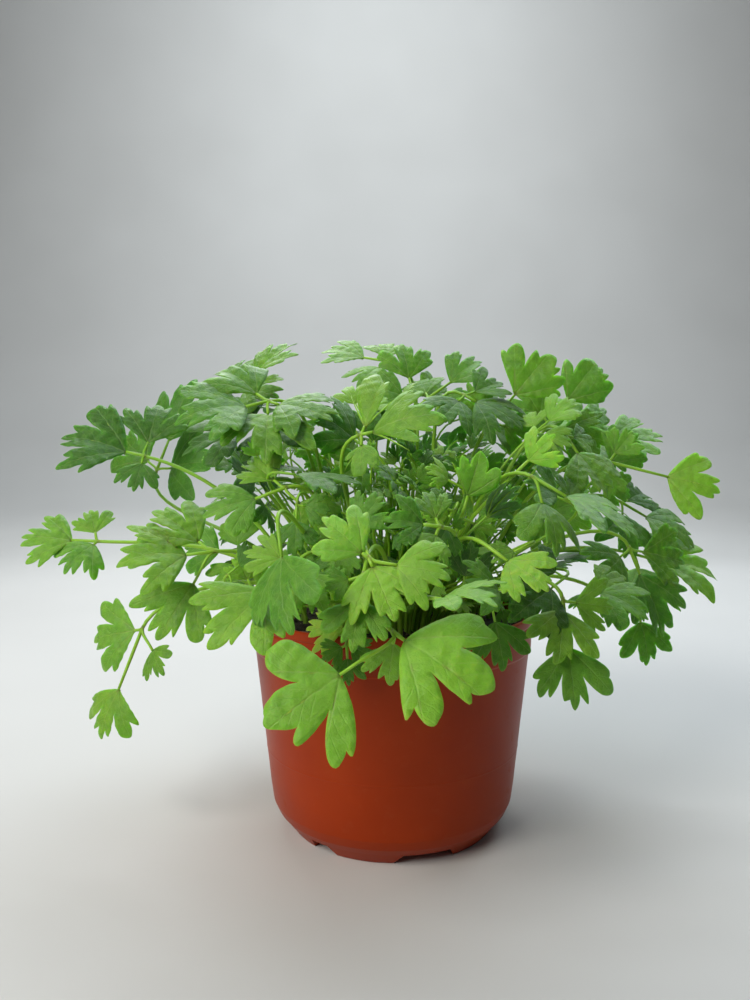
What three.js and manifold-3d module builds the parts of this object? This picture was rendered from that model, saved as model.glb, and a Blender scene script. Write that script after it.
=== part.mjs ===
// Potted flat-leaf parsley: a 12 cm nursery pot, the soil that fills it, and leafy stems.
// Millimetres, +Z up. The pot's axis is the Z axis and its feet stand on z = 0.
// The front of the plant faces -Y. Angles are in degrees, counted from +X towards +Y.
import * as THREE from "three";
import { mergeVertices } from "three/addons/utils/BufferGeometryUtils.js";
import Module from "manifold-3d";

const wasm = await Module();
wasm.setup();

// ---- Pot ----
const RIM_RADIUS = 60;
const POT_HEIGHT = 91.4;
const POT_SIDES = 32;
const WALL = 1.5;
const LIP_HEIGHT = 4; // thin top lip above a groove
const GROOVE = 0.6;
const COLLAR_DEPTH = 15.3; // from the rim's top down to the collar's step
const COLLAR_STEP = 0.8;
const BODY_TOP_RADIUS = 58.5;
const BODY_FOOT_RADIUS = 52.5; // where the round lower corner begins
const CORNER_HEIGHT = 20;
const FOOT_HEIGHT = 5;
const FOOT_RADIUS = 43.2; // outer radius of the feet on the table
const FOOT_WIDTH = 2.6;
const FLOOR_THICKNESS = 1.6;
const FOOT_GAPS = [
  { centre: -74, bottom: 25, top: 19 }, // wide gap, widths along the rim of the foot
  { centre: -129, bottom: 12, top: 8 }, // narrow gap
];
const FOOT_REPEATS = 3;
const DRAIN_HOLES = 6;
const DRAIN_RADIUS = 3.5;
const DRAIN_CIRCLE = 30;

// ---- Soil ----
const CLEARANCE = 0.3; // between pieces that touch
const SOIL_LEVEL = 85;
const SOIL_SIDES = 16;

// ---- Leafy stems ----
const ROOT_DEPTH = 9; // how deep a stem stands in the soil
const ROOT_SPACING = 5.2;
const ROOT_CIRCLE = 46; // every root is inside this radius
const ROOT_REACH = { least: 6, share: 0.3 }; // distance from the pot's axis: least + share of the hub's
const STEM_RADIUS = 1.3; // at the soil; corner radius of a three-sided stem
const HUB_RADIUS = 1.0; // where the three leaflets part
const STALK_RADIUS = 0.85; // leaflet stalks, where the blade begins
const STALK_START = 0.4; // side leaflets' stalks, inside the stem
const STEM_STEPS = 5;
const CROWN_HEIGHT = 3; // above the soil; a stem rises straight up to here
// Handles of a stem's curve, as shares of the distance from its crown to its hub.
const STEM_HANDLES = { up: 0.4, outwards: 0.08, arriving: 0.28 };
const LEAF_THICKNESS = 0.75;
// Corners of a stem's section, along its side and its normal: a flat top and a keel below.
const RING_CORNERS = [[0.87, 0.5], [-0.87, 0.5], [0, -1]];
// Ranges of what differs from leaflet to leaflet. Curl is in radians.
const LEAF_RANGES = { reach: [0.92, 1.06], curl: [0.3, 0.9], fold: [0.05, 0.3], cup: [0.1, 0.6] };
// Side leaflets: turn from the end leaflet, lift, relative size, and stalk in end leaflet lengths.
const SIDE_RANGES = { turn: [62, 76], lift: [-16, 4], size: [0.78, 0.88] };
const SIDE_STALK = 0.26;

// ---- Bending a frond clear of its neighbours ----
const TEST_MARGIN = 0.12; // free space kept round a frond
const MAX_BENDS = 1500;
const BEND_AMOUNT = { first: 0.1, step: 1 / 500, most: 2.5 };
const BEND_SWINGS = { base: 9, heading: 24, pitch: 18, roll: 30, root: 9 }; // at an amount of 1

// Half a leaflet's outline, from its midrib outwards: angle at the base point and distance
// from it in leaflet lengths. Tooth tips and notches alternate; three lobes in all.
const HALF_OUTLINE = [
  { angle: 8, reach: 0.87 },
  { angle: 15, reach: 0.86 },
  { angle: 22, reach: 0.47 },
  { angle: 30, reach: 0.83 },
  { angle: 40, reach: 0.95 },
  { angle: 50, reach: 0.75 },
  { angle: 57, reach: 0.79 },
  { angle: 64, reach: 0.5 },
];

// Fronds that the photograph shows: the place of the end leaflet's base, its length, the way it
// points (heading, pitch), and the stalk between it and the hub. sides gives side leaflets that
// differ from the usual pair: turn from the end leaflet, lift out of its plane, stalk length and
// relative size. shift moves the root.
const SEEN_FACE = { up: 0.8, outwards: 0.3, light: 0.75 };
const FULL_FACE = { up: 0.35, outwards: 0.1, light: 1 }; // turned wholly to the light
const ASIDE_FACE = { up: 0.2, outwards: 1.5, light: -1 }; // turned past the pot's side
const UP_FACE = { up: 1, outwards: 0.25, light: 0 };
const HIDDEN_FACE = { up: 0.8, outwards: 0.6, light: 0 };
const SEEN_FRONDS = [
  // Over the rim in front.
  { base: [2, -95, 99], length: 34, heading: -21, pitch: -33, stalk: 4, shift: [-18, 4],
    sides: [
      { turn: -102, lift: 0, stalk: 22, size: 0.88 },
      { turn: -56, lift: -52, stalk: 4, size: 0.45 },
    ] },
  { base: [-43, -80, 112], length: 27, heading: -138, pitch: -36, stalk: 15,
    sides: [{ turn: 65, lift: -10, stalk: 6, size: 0.6 }, { turn: -67, lift: 2, stalk: 6, size: 0.5 }] },
  { base: [62, -60, 88], length: 22, heading: -78, pitch: -74, stalk: 17, face: FULL_FACE,
    sides: [{ turn: -16, lift: 16, stalk: 4, size: 0.95 }, { turn: 80, lift: -8, stalk: 5, size: 0.7 }] },
  { base: [-38, -91, 124], length: 26, heading: -66, pitch: -60, stalk: 10, shift: [-6, -6],
    face: ASIDE_FACE, sides: [] },
  { base: [-8, -93, 122], length: 20, heading: -58, pitch: -50, stalk: 3,
    sides: [{ turn: -150, lift: 10, stalk: 3, size: 0.9 }, { turn: 54, lift: 2, stalk: 9, size: 0.9 }] },
  { base: [13, -100, 113], length: 21, heading: -42, pitch: 2, stalk: 8, face: UP_FACE, sides: [] },
  { base: [38, -72, 121], length: 18, heading: -38, pitch: -30, stalk: 10, sides: [] },
  // Left side.
  { base: [-138, 0, 121], length: 22, heading: 180, pitch: 3, stalk: 11,
    sides: [{ turn: 62, lift: 0, stalk: 2, size: 0.85 }, { turn: -66, lift: 4, stalk: 5, size: 0.65 }] },
  { base: [-117, 10, 159], length: 30, heading: 180, pitch: 13, stalk: 8,
    sides: [{ turn: -84, lift: 4, stalk: 8, size: 0.8 }, { turn: 96, lift: -10, stalk: 4, size: 0.5 }] },
  { base: [-112, -22, 62], length: 21, heading: -156, pitch: -68, stalk: 26,
    sides: [{ turn: 62, lift: 6, stalk: 12, size: 0.62 }, { turn: -62, lift: 0, stalk: 4, size: 1.15 }] },
  { base: [-78, -45, 120], length: 26, heading: -156, pitch: -4, stalk: 10,
    sides: [{ turn: -52, lift: 4, stalk: 7, size: 0.9 }, { turn: 42, lift: -36, stalk: 14, size: 0.95 }] },
  { base: [-52, -45, 141], length: 21, heading: -160, pitch: -19, stalk: 12,
    sides: [{ turn: -70, lift: 0, stalk: 6, size: 0.75 }, { turn: 110, lift: -20, stalk: 8, size: 0.8 }] },
  { base: [-107, 45, 165], length: 34, heading: 40, pitch: 66, stalk: 16 },
  // Top.
  { base: [-59, -20, 177], length: 31, heading: -151, pitch: -14, stalk: 10,
    sides: [
      { turn: 62, lift: -8, stalk: 8, size: 0.9 },
      { turn: -70, lift: 4, stalk: 7, size: 0.8 },
      { turn: 118, lift: 4, stalk: 5, size: 0.85 },
    ] },
  { base: [-65, 0, 168], length: 27, heading: -161, pitch: -22, stalk: 12 },
  { base: [-8, -40, 166], length: 31, heading: -24, pitch: 11, stalk: 5,
    sides: [{ turn: 74, lift: 0, stalk: 4, size: 0.85 }, { turn: -84, lift: -6, stalk: 5, size: 0.55 }] },
  { base: [-19, -20, 167], length: 22, heading: -153, pitch: 38, stalk: 10 },
  { base: [-59, 28, 194], length: 24, heading: 12, pitch: 36, stalk: 12 },
  { base: [-13, 75, 208], length: 24, heading: 166, pitch: 10, stalk: 12 },
  { base: [10, 60, 196], length: 22, heading: 111, pitch: 60, stalk: 12 },
  { base: [29, 40, 192], length: 20, heading: 17, pitch: 34, stalk: 14 },
  { base: [36, 0, 180], length: 24, heading: -24, pitch: -30, stalk: 6,
    sides: [{ turn: -84, lift: -4, stalk: 5, size: 0.85 }, { turn: 70, lift: 4, stalk: 6, size: 0.7 }] },
  { base: [55, 14, 184], length: 25, heading: 0, pitch: 50, stalk: 16, face: FULL_FACE, shift: [6, 6],
    sides: [{ turn: 72, lift: 1, stalk: 6, size: 0.6 }, { turn: -66, lift: -8, stalk: 6, size: 0.6 }] },
  { base: [86, 45, 184], length: 27, heading: 18, pitch: 50, stalk: 16, face: FULL_FACE, shift: [-2, 4] },
  // Right side.
  { base: [91, 50, 170], length: 30, heading: 40, pitch: 24, stalk: 14, shift: [2, -4] },
  { base: [116, 74, 166], length: 28, heading: 4, pitch: 2, stalk: 14, shift: [6, 4] },
  { base: [100, 30, 154], length: 19, heading: 10, pitch: 46, stalk: 12, face: FULL_FACE },
  { base: [121, 8, 147], length: 23, heading: -11, pitch: -15, stalk: 26, face: FULL_FACE,
    sides: [{ turn: 68, lift: 1, stalk: 5, size: 0.6 }, { turn: -75, lift: -2, stalk: 5, size: 0.55 }] },
  { base: [125, 45, 127], length: 28, heading: -7, pitch: -31, stalk: 14, shift: [0, 4] },
  { base: [63, -50, 142], length: 30, heading: -29, pitch: -29, stalk: 14, face: HIDDEN_FACE,
    shift: [0, 8], sides: [{ turn: -35, lift: -25, stalk: 12, size: 0.75 }] },
  { base: [76, -15, 158], length: 23, heading: -45, pitch: -50, stalk: 10,
    sides: [{ turn: 71, lift: -14, stalk: 5, size: 0.55 }, { turn: -74, lift: -15, stalk: 5, size: 0.45 }] },
  { base: [82, -30, 103], length: 21, heading: -27, pitch: -25, stalk: 5,
    sides: [{ turn: 60, lift: -6, stalk: 4, size: 0.75 }, { turn: -70, lift: -6, stalk: 4, size: 0.55 }] },
  { base: [108, 0, 107], length: 28, heading: -41, pitch: -66, stalk: 12 },
  { base: [129, 33, 108], length: 31, heading: 0, pitch: -12, stalk: 14, shift: [2, -5] },
  { base: [122, 42, 76], length: 21, heading: -60, pitch: -76, stalk: 18, face: FULL_FACE, shift: [0, -2] },
  // Small young fronds in the middle.
  { base: [51, -40, 156], length: 14, heading: -27, pitch: 45, stalk: 10, shift: [-6, 0],
    sides: [] },
  { base: [28, -48, 141], length: 19, heading: -15, pitch: 72, stalk: 9, face: FULL_FACE,
    sides: [{ turn: 95, lift: 0, stalk: 5, size: 0.6 }, { turn: -95, lift: 0, stalk: 5, size: 0.5 }] },
  { base: [-14, -97, 114], length: 17, heading: -112, pitch: -64, stalk: 8, shift: [4, 10],
    sides: [{ turn: 73, lift: 3, stalk: 5, size: 0.5 }, { turn: -65, lift: -12, stalk: 5, size: 0.5 }] },
  { base: [-12, -58, 130], length: 14, heading: -10, pitch: 50, stalk: 8, face: FULL_FACE, shift: [-6, 0],
    sides: [
      { turn: 100, lift: -10, stalk: 4, size: 0.7 },
      { turn: -130, lift: -10, stalk: 4, size: 0.6 },
    ] },
  { base: [8, -72, 132], length: 14, heading: -160, pitch: 10, stalk: 6, face: FULL_FACE, shift: [4, 4] },
];

// The rest of the plant, where the photograph doesn't reach: rings of fronds round the pot's
// axis, from azimuth from to azimuth to, with the reach and height of the end leaflets' bases.
const HIDDEN_RINGS = [
  { count: 5, from: 45, to: 150, reach: 87, height: 92, length: 28, pitch: -42 },
  { count: 3, from: 60, to: 140, reach: 88, height: 136, length: 29, pitch: -8 },
];
const RING_STALK = 14;
const RING_JITTER = { azimuth: 5, reach: 5, height: 6, heading: 14, pitch: 8 };

const LEAF_COLOURS = { leaf_fresh: 0x8fbf3c, leaf_green: 0x5f9c3a, leaf_deep: 0x3f7d33 };

const UP = new THREE.Vector3(0, 0, 1);
const radians = THREE.MathUtils.degToRad;

// A repeatable stream of numbers from 0 to 1.
function stream(seed) {
  let state = seed >>> 0;
  return () => {
    state = (Math.imul(state, 1664525) + 1013904223) >>> 0;
    return state / 4294967296;
  };
}

// ---- Closed solids from plain geometry ----

// A solid from a geometry whose faces close it and point out.
function solidOf(geometry) {
  const bare = geometry.clone();
  bare.deleteAttribute("normal");
  bare.deleteAttribute("uv");
  const merged = mergeVertices(bare, 1e-4);
  const corners = merged.index.array;
  const kept = [];
  for (let i = 0; i < corners.length; i += 3) {
    const [a, b, c] = [corners[i], corners[i + 1], corners[i + 2]];
    if (a !== b && b !== c && c !== a) kept.push(a, b, c);
  }
  return solidFrom(merged.getAttribute("position").array, kept);
}

function solidFrom(numbers, corners) {
  const vertProperties = new Float32Array(numbers);
  const triVerts = new Uint32Array(corners);
  return new wasm.Manifold(new wasm.Mesh({ numProp: 3, vertProperties, triVerts }));
}

// A profile of [radius, height] pairs turned about the Z axis, from the axis back to the axis.
function turned(profile, sides) {
  const points = profile.map(([radius, height]) => new THREE.Vector2(radius, height));
  return solidOf(new THREE.LatheGeometry(points, sides).rotateX(Math.PI / 2));
}

// Corners of three-sided rings along points, with one radius for each. The last ring's flat top
// lies along endSide; the others follow it back along the curve without twisting.
function ringsAlong(points, radii, endSide) {
  const rings = [];
  const turn = new THREE.Quaternion();
  const side = endSide.clone();
  let after = null;
  for (let i = points.length - 1; i >= 0; i--) {
    const ahead = points[Math.min(i + 1, points.length - 1)];
    const behind = points[Math.max(i - 1, 0)];
    const along = ahead.clone().sub(behind).normalize();
    if (after) side.applyQuaternion(turn.setFromUnitVectors(after, along));
    side.addScaledVector(along, -side.dot(along)).normalize();
    const normal = along.clone().cross(side);
    const corner = ([level, height]) =>
      points[i]
        .clone()
        .addScaledVector(side, radii[i] * level)
        .addScaledVector(normal, radii[i] * height);
    rings.unshift(RING_CORNERS.map(corner));
    after = along;
  }
  return { rings, side };
}

// Walls between rings that lie one after the other in a list of points, from number first.
function ringWalls(count, first) {
  const corners = [];
  for (let i = 0; i + 1 < count; i++) {
    for (let k = 0; k < 3; k++) {
      const a = first + 3 * i + k;
      const b = first + 3 * i + ((k + 1) % 3);
      corners.push(a, b, b + 3, a, b + 3, a + 3);
    }
  }
  return corners;
}

// A plain three-sided bar along points.
function bar(points, radius, endSide) {
  const { rings } = ringsAlong(points, points.map(() => radius), endSide);
  const end = 3 * (points.length - 1);
  const corners = [0, 2, 1, ...ringWalls(points.length, 0), end, end + 1, end + 2];
  return solidFrom(rings.flat().flatMap((corner) => corner.toArray()), corners);
}

// ---- Pot ----

function bodyRadiusAt(height) {
  const share = (height - CORNER_HEIGHT) / (POT_HEIGHT - COLLAR_DEPTH - CORNER_HEIGHT);
  return THREE.MathUtils.lerp(BODY_FOOT_RADIUS, BODY_TOP_RADIUS, share);
}

function makePot() {
  const stepHeight = POT_HEIGHT - COLLAR_DEPTH;
  const lipBottom = POT_HEIGHT - LIP_HEIGHT;
  const floorTop = FOOT_HEIGHT + FLOOR_THICKNESS;
  const collarRadius = BODY_TOP_RADIUS + COLLAR_STEP;
  const solid = turned(
    [
      [0, FOOT_HEIGHT],
      [FOOT_RADIUS - FOOT_WIDTH, FOOT_HEIGHT],
      [FOOT_RADIUS - FOOT_WIDTH, 0],
      [FOOT_RADIUS, 0],
      [47, FOOT_HEIGHT],
      [49.6, 8],
      [51.4, 12],
      [BODY_FOOT_RADIUS, CORNER_HEIGHT],
      [BODY_TOP_RADIUS, stepHeight],
      [collarRadius, stepHeight + COLLAR_STEP],
      [RIM_RADIUS - 0.3, lipBottom - GROOVE],
      [RIM_RADIUS - GROOVE, lipBottom],
      [RIM_RADIUS, lipBottom + GROOVE],
      [RIM_RADIUS, POT_HEIGHT - 0.5],
      [RIM_RADIUS - 0.5, POT_HEIGHT],
      [RIM_RADIUS - WALL, POT_HEIGHT],
      [collarRadius - WALL, stepHeight + 2],
      [bodyRadiusAt(stepHeight - 2) - WALL, stepHeight - 2],
      [BODY_FOOT_RADIUS - WALL, CORNER_HEIGHT],
      [49.6, 12.5],
      [47, floorTop + 1.2],
      [43.5, floorTop],
      [0, floorTop],
    ],
    POT_SIDES,
  );
  return [...footGapCutters(), ...drainCutters()].reduce((pot, cutter) => pot.subtract(cutter), solid);
}

// A gap between two feet: a trapezium as seen from outside, wider at the table.
function footGapCutters() {
  const depth = 14;
  const below = 1;
  const roof = FOOT_HEIGHT - 0.3;
  const radialBasis = new THREE.Matrix4().makeBasis(
    new THREE.Vector3(0, 1, 0),
    new THREE.Vector3(0, 0, 1),
    new THREE.Vector3(1, 0, 0),
  );
  const cutters = [];
  for (const gap of FOOT_GAPS) {
    for (let i = 0; i < FOOT_REPEATS; i++) {
      const shape = new THREE.Shape([
        new THREE.Vector2(-gap.bottom / 2, -below),
        new THREE.Vector2(gap.bottom / 2, -below),
        new THREE.Vector2(gap.bottom / 2, 0),
        new THREE.Vector2(gap.top / 2, roof),
        new THREE.Vector2(-gap.top / 2, roof),
        new THREE.Vector2(-gap.bottom / 2, 0),
      ]);
      const cutter = new THREE.ExtrudeGeometry(shape, { depth, bevelEnabled: false });
      cutter.applyMatrix4(radialBasis).translate(FOOT_RADIUS - FOOT_WIDTH - 4, 0, 0);
      cutter.rotateZ(radians(gap.centre + (360 * i) / FOOT_REPEATS));
      cutters.push(solidOf(cutter));
    }
  }
  return cutters;
}

function drainCutters() {
  const cutters = [];
  for (let i = 0; i < DRAIN_HOLES; i++) {
    const drill = new THREE.CylinderGeometry(DRAIN_RADIUS, DRAIN_RADIUS, 4 * FLOOR_THICKNESS, 8);
    drill.rotateX(Math.PI / 2).translate(DRAIN_CIRCLE, 0, FOOT_HEIGHT + FLOOR_THICKNESS / 2);
    drill.rotateZ((2 * Math.PI * i) / DRAIN_HOLES);
    cutters.push(solidOf(drill));
  }
  return cutters;
}

// ---- Soil ----

function makeSoil() {
  const bottom = FOOT_HEIGHT + FLOOR_THICKNESS + CLEARANCE;
  const inset = WALL + 2 * CLEARANCE;
  return turned(
    [
      [0, bottom],
      [42.5, bottom],
      [46, bottom + 1.6],
      [48.6, 13.2],
      [BODY_FOOT_RADIUS - inset, CORNER_HEIGHT + 0.5],
      [bodyRadiusAt(POT_HEIGHT - COLLAR_DEPTH) - inset, POT_HEIGHT - COLLAR_DEPTH],
      [BODY_TOP_RADIUS - inset, SOIL_LEVEL - 1.5],
      [44, SOIL_LEVEL + 0.4],
      [22, SOIL_LEVEL - 0.6],
      [0, SOIL_LEVEL + 0.3],
    ],
    SOIL_SIDES,
  );
}

// The plain hole that a stem stands in, with its flat side along rootSide.
function rootHole(root, rootSide) {
  const ends = [SOIL_LEVEL - ROOT_DEPTH - CLEARANCE, SOIL_LEVEL + 4];
  const points = ends.map((height) => new THREE.Vector3(root.x, root.y, height));
  return bar(points, STEM_RADIUS + 2 * CLEARANCE, rootSide);
}

// ---- Limb: a stalk that ends in a leaflet ----

// The leaflet's outline round its base point, in leaflet lengths, from one side to the other.
function outlineOf(reaches) {
  const half = (sign, first) =>
    HALF_OUTLINE.map(({ angle, reach }, i) => {
      const scaled = reach * reaches[first + i];
      return { x: scaled * Math.cos(radians(angle)), y: sign * scaled * Math.sin(radians(angle)) };
    });
  return [...half(-1, 0).reverse(), { x: 1, y: 0 }, ...half(1, HALF_OUTLINE.length)];
}

// A stalk along points that widens into one thin blade at its last point. The blade arches
// over its length by curl (radians), with its tip straight ahead of its base. It rises by fold
// beside the midrib and sinks again by cup towards its edges. Both faces are split into the
// same triangles.
function limb(points, radii, leaf, margin) {
  const { forward, side, length, variation } = leaf;
  const { curl, fold, cup } = variation;
  const origin = points[points.length - 1];
  const normal = forward.clone().cross(side).normalize();
  const { rings, side: rootSide } = ringsAlong(points, radii.map((radius) => radius + margin), side);
  const outline = outlineOf(variation.reaches);
  const faces = [1, -1].map((face) =>
    outline.map(({ x, y }) => {
      const angle = curl * (x - 0.5);
      const forth = (Math.sin(angle) + Math.sin(curl / 2)) / curl;
      const rise = (Math.cos(angle) - Math.cos(curl / 2)) / curl + fold * Math.abs(y) - cup * y * y;
      const offset = face * (LEAF_THICKNESS / 2 + margin);
      return origin
        .clone()
        .addScaledVector(forward, length * forth + offset * Math.sin(angle))
        .addScaledVector(side, length * y)
        .addScaledVector(normal, length * rise + offset * Math.cos(angle));
    }),
  );
  const numbers = [...rings.flat(), ...faces.flat()].flatMap((corner) => corner.toArray());
  const first = 3 * (points.length - 1);
  const corners = [0, 2, 1, ...ringWalls(points.length, 0), ...bladeCorners(first, outline.length)];
  return { solid: solidFrom(numbers, corners), rootSide };
}

// Triangles of a blade that grows from the ring of corners first, first + 1 and first + 2: the
// middle, a fan for each side lobe, the centre lobe, then the edge all round. In the lists,
// number 0 is the stalk and 1 to 17 go round the outline from one side of the base to the other.
function bladeCorners(first, count) {
  const [left, right, under] = [first, first + 1, first + 2];
  const above = (i) => first + 2 + i;
  const below = (i) => first + 2 + count + i;
  const lobes = [
    [6, 1, 2], [6, 2, 3], [6, 3, 4], [6, 4, 5],
    [12, 13, 14], [12, 14, 15], [12, 15, 16], [12, 16, 17],
    [6, 7, 8], [6, 8, 9], [6, 9, 12], [12, 9, 10], [12, 10, 11],
  ];
  const corners = [];
  for (const [a, b, c] of lobes) {
    corners.push(above(a), above(b), above(c), below(a), below(c), below(b));
  }
  corners.push(right, above(1), above(6), right, above(6), above(12));
  corners.push(right, above(12), left, left, above(12), above(17));
  corners.push(under, below(6), below(1), under, below(12), below(6), under, below(17), below(12));
  corners.push(right, under, below(1), right, below(1), above(1));
  corners.push(left, below(17), under, left, above(17), below(17));
  for (let i = 1; i < count; i++) {
    corners.push(above(i + 1), above(i), below(i), above(i + 1), below(i), below(i + 1));
  }
  return corners;
}

// ---- Frond: a stem, a hub and three leaflets ----

function direction(heading, pitch) {
  const [h, p] = [radians(heading), radians(pitch)];
  return new THREE.Vector3(Math.cos(p) * Math.cos(h), Math.cos(p) * Math.sin(h), Math.sin(p));
}

// Unit vector across forward, level in a blade whose upper face turns towards facing.
function sideOf(forward, facing) {
  return facing.clone().cross(forward).normalize();
}

// Where a frond's blades turn their upper faces: up, outwards from the pot and to the light.
function facingOf(frond) {
  const [x, y] = frond.base;
  const reach = Math.max(Math.hypot(x, y), 1);
  const { up, outwards, light } = frond.face;
  return new THREE.Vector3((outwards * x) / reach, (outwards * y) / reach - light, up).normalize();
}

// Bend number 0 leaves a frond where it is. Later bends move it a little further each.
function bent(frond, index, bend) {
  const shift = frond.shift ?? [0, 0];
  if (bend === 0) return { ...frond, roll: 0, shift };
  const draw = stream(7919 * index + 104729 * bend);
  const amount = Math.min(BEND_AMOUNT.most, BEND_AMOUNT.first + BEND_AMOUNT.step * bend);
  const swing = (most) => most * amount * (2 * draw() - 1);
  return {
    ...frond,
    base: frond.base.map((value) => value + swing(BEND_SWINGS.base)),
    heading: frond.heading + swing(BEND_SWINGS.heading),
    pitch: frond.pitch + swing(BEND_SWINGS.pitch),
    roll: swing(BEND_SWINGS.roll),
    shift: shift.map((value) => value + swing(BEND_SWINGS.root)),
  };
}

function variationOf(draw) {
  const pick = ([low, high]) => THREE.MathUtils.lerp(low, high, draw());
  return {
    reaches: Array.from({ length: 2 * HALF_OUTLINE.length }, () => pick(LEAF_RANGES.reach)),
    curl: pick(LEAF_RANGES.curl),
    fold: pick(LEAF_RANGES.fold),
    cup: pick(LEAF_RANGES.cup),
  };
}

// The root lies under the hub, drawn in towards the pot's middle, so that stems don't cross.
function rootOf(hub, shift) {
  const reach = Math.hypot(hub.x, hub.y);
  const distance = Math.min(ROOT_CIRCLE - 2, ROOT_REACH.least + ROOT_REACH.share * reach);
  const drawnIn = distance / Math.max(reach, 1);
  const root = { x: hub.x * drawnIn + shift[0], y: hub.y * drawnIn + shift[1] };
  const far = Math.hypot(root.x, root.y);
  if (far > ROOT_CIRCLE) {
    root.x *= ROOT_CIRCLE / far;
    root.y *= ROOT_CIRCLE / far;
  }
  return root;
}

function stemPoints(root, hub, forward) {
  const foot = new THREE.Vector3(root.x, root.y, SOIL_LEVEL - ROOT_DEPTH);
  const crown = new THREE.Vector3(root.x, root.y, SOIL_LEVEL + CROWN_HEIGHT);
  const reach = crown.distanceTo(hub);
  const outwards = new THREE.Vector3(hub.x - root.x, hub.y - root.y, 0).normalize();
  const rising = crown
    .clone()
    .addScaledVector(UP, STEM_HANDLES.up * reach)
    .addScaledVector(outwards, STEM_HANDLES.outwards * reach);
  const arriving = hub.clone().addScaledVector(forward, -STEM_HANDLES.arriving * reach);
  const curve = new THREE.CubicBezierCurve3(crown, rising, arriving, hub);
  return [foot, ...curve.getPoints(STEM_STEPS)];
}

function frondSolid(frond, index, margin) {
  const draw = stream(15485863 + 32452843 * index);
  const forward = direction(frond.heading, frond.pitch);
  const side = sideOf(forward, facingOf(frond)).applyAxisAngle(forward, radians(frond.roll));
  const normal = forward.clone().cross(side);
  const base = new THREE.Vector3(...frond.base);
  const hub = base.clone().addScaledVector(forward, -frond.stalk);
  const root = rootOf(hub, frond.shift);
  const points = stemPoints(root, hub, forward);
  const last = points.length - 1;
  const radii = points.map((_, i) => THREE.MathUtils.lerp(STEM_RADIUS, HUB_RADIUS, i / last));
  const leaf = { forward, side, length: frond.length, variation: variationOf(draw) };
  const stem = limb([...points, base], [...radii, STALK_RADIUS], leaf, margin);
  const sides = sidesOf(frond, draw).map(({ turn, lift, stalk, size }) => {
    const way = forward.clone().applyAxisAngle(normal, radians(turn));
    const hinge = way.clone().cross(normal);
    way.applyAxisAngle(hinge, radians(lift));
    const sideLeaf = {
      forward: way,
      side: sideOf(way, normal),
      length: frond.length * size,
      variation: variationOf(draw),
    };
    const ends = [hub, hub.clone().addScaledVector(way, stalk)];
    return limb(ends, [STALK_START, STALK_RADIUS], sideLeaf, margin).solid;
  });
  return { root, rootSide: stem.rootSide, solid: wasm.Manifold.union([stem.solid, ...sides]) };
}

// Side leaflets: the frond's own, or one on each hand, a little smaller than the end leaflet.
function sidesOf(frond, draw) {
  const pick = ([low, high]) => THREE.MathUtils.lerp(low, high, draw());
  const usual = [1, -1].map((sign) => ({
    turn: sign * pick(SIDE_RANGES.turn),
    lift: pick(SIDE_RANGES.lift),
    stalk: SIDE_STALK * frond.length,
    size: pick(SIDE_RANGES.size),
  }));
  return frond.sides ?? usual;
}

// ---- The plant: each frond is bent, a little at a time, until it is clear of the rest ----

function hiddenFronds() {
  const draw = stream(2024);
  const swing = (most) => most * (2 * draw() - 1);
  const fronds = [];
  for (const ring of HIDDEN_RINGS) {
    for (let i = 0; i < ring.count; i++) {
      const share = (i + 0.5) / ring.count;
      const azimuth = ring.from + (ring.to - ring.from) * share + swing(RING_JITTER.azimuth);
      const reach = ring.reach + swing(RING_JITTER.reach);
      fronds.push({
        base: [
          reach * Math.cos(radians(azimuth)),
          reach * Math.sin(radians(azimuth)),
          ring.height + swing(RING_JITTER.height),
        ],
        length: ring.length,
        heading: azimuth + swing(RING_JITTER.heading),
        pitch: ring.pitch + swing(RING_JITTER.pitch),
        stalk: RING_STALK,
        face: HIDDEN_FACE,
      });
    }
  }
  return fronds;
}

function boxesMeet(a, b) {
  return [0, 1, 2].every((axis) => a.min[axis] <= b.max[axis] && b.min[axis] <= a.max[axis]);
}

function isClear(solid, others) {
  const box = solid.boundingBox();
  return others.every(
    (other) => !boxesMeet(box, other.boundingBox()) || solid.intersect(other).isEmpty(),
  );
}

function growPlant(pot, soil) {
  const placed = [];
  let ground = soil;
  const seen = SEEN_FRONDS.map((frond) => ({ face: SEEN_FACE, ...frond }));
  [...seen, ...hiddenFronds()].forEach((frond, index) => {
    for (let bend = 0; bend < MAX_BENDS; bend++) {
      const tried = bent(frond, index, bend);
      const thick = frondSolid(tried, index, TEST_MARGIN);
      const crowded = placed.some(
        ({ root }) => Math.hypot(root.x - thick.root.x, root.y - thick.root.y) < ROOT_SPACING,
      );
      if (crowded || !isClear(thick.solid, [pot, ...placed.map(({ solid }) => solid)])) continue;
      const drilled = ground.subtract(rootHole(thick.root, thick.rootSide));
      if (!drilled.intersect(thick.solid).isEmpty()) continue;
      ground = drilled;
      placed.push(frondSolid(tried, index, 0));
      return;
    }
    throw new Error(`frond ${index} finds no clear place`);
  });
  return { ground, fronds: placed.map(({ solid }) => solid) };
}

// ---- Assembly ----

function meshOf(name, solid, material) {
  const { vertProperties, triVerts, numProp } = solid.getMesh();
  if (numProp !== 3) throw new Error(`${name} has extra vertex data`);
  const geometry = new THREE.BufferGeometry();
  geometry.setAttribute("position", new THREE.BufferAttribute(new Float32Array(vertProperties), 3));
  geometry.setIndex(new THREE.BufferAttribute(new Uint32Array(triVerts), 1));
  geometry.computeVertexNormals();
  const mesh = new THREE.Mesh(geometry, material);
  mesh.name = name;
  return mesh;
}

const plain = (color, roughness) => new THREE.MeshStandardMaterial({ color, roughness, metalness: 0 });

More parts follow.
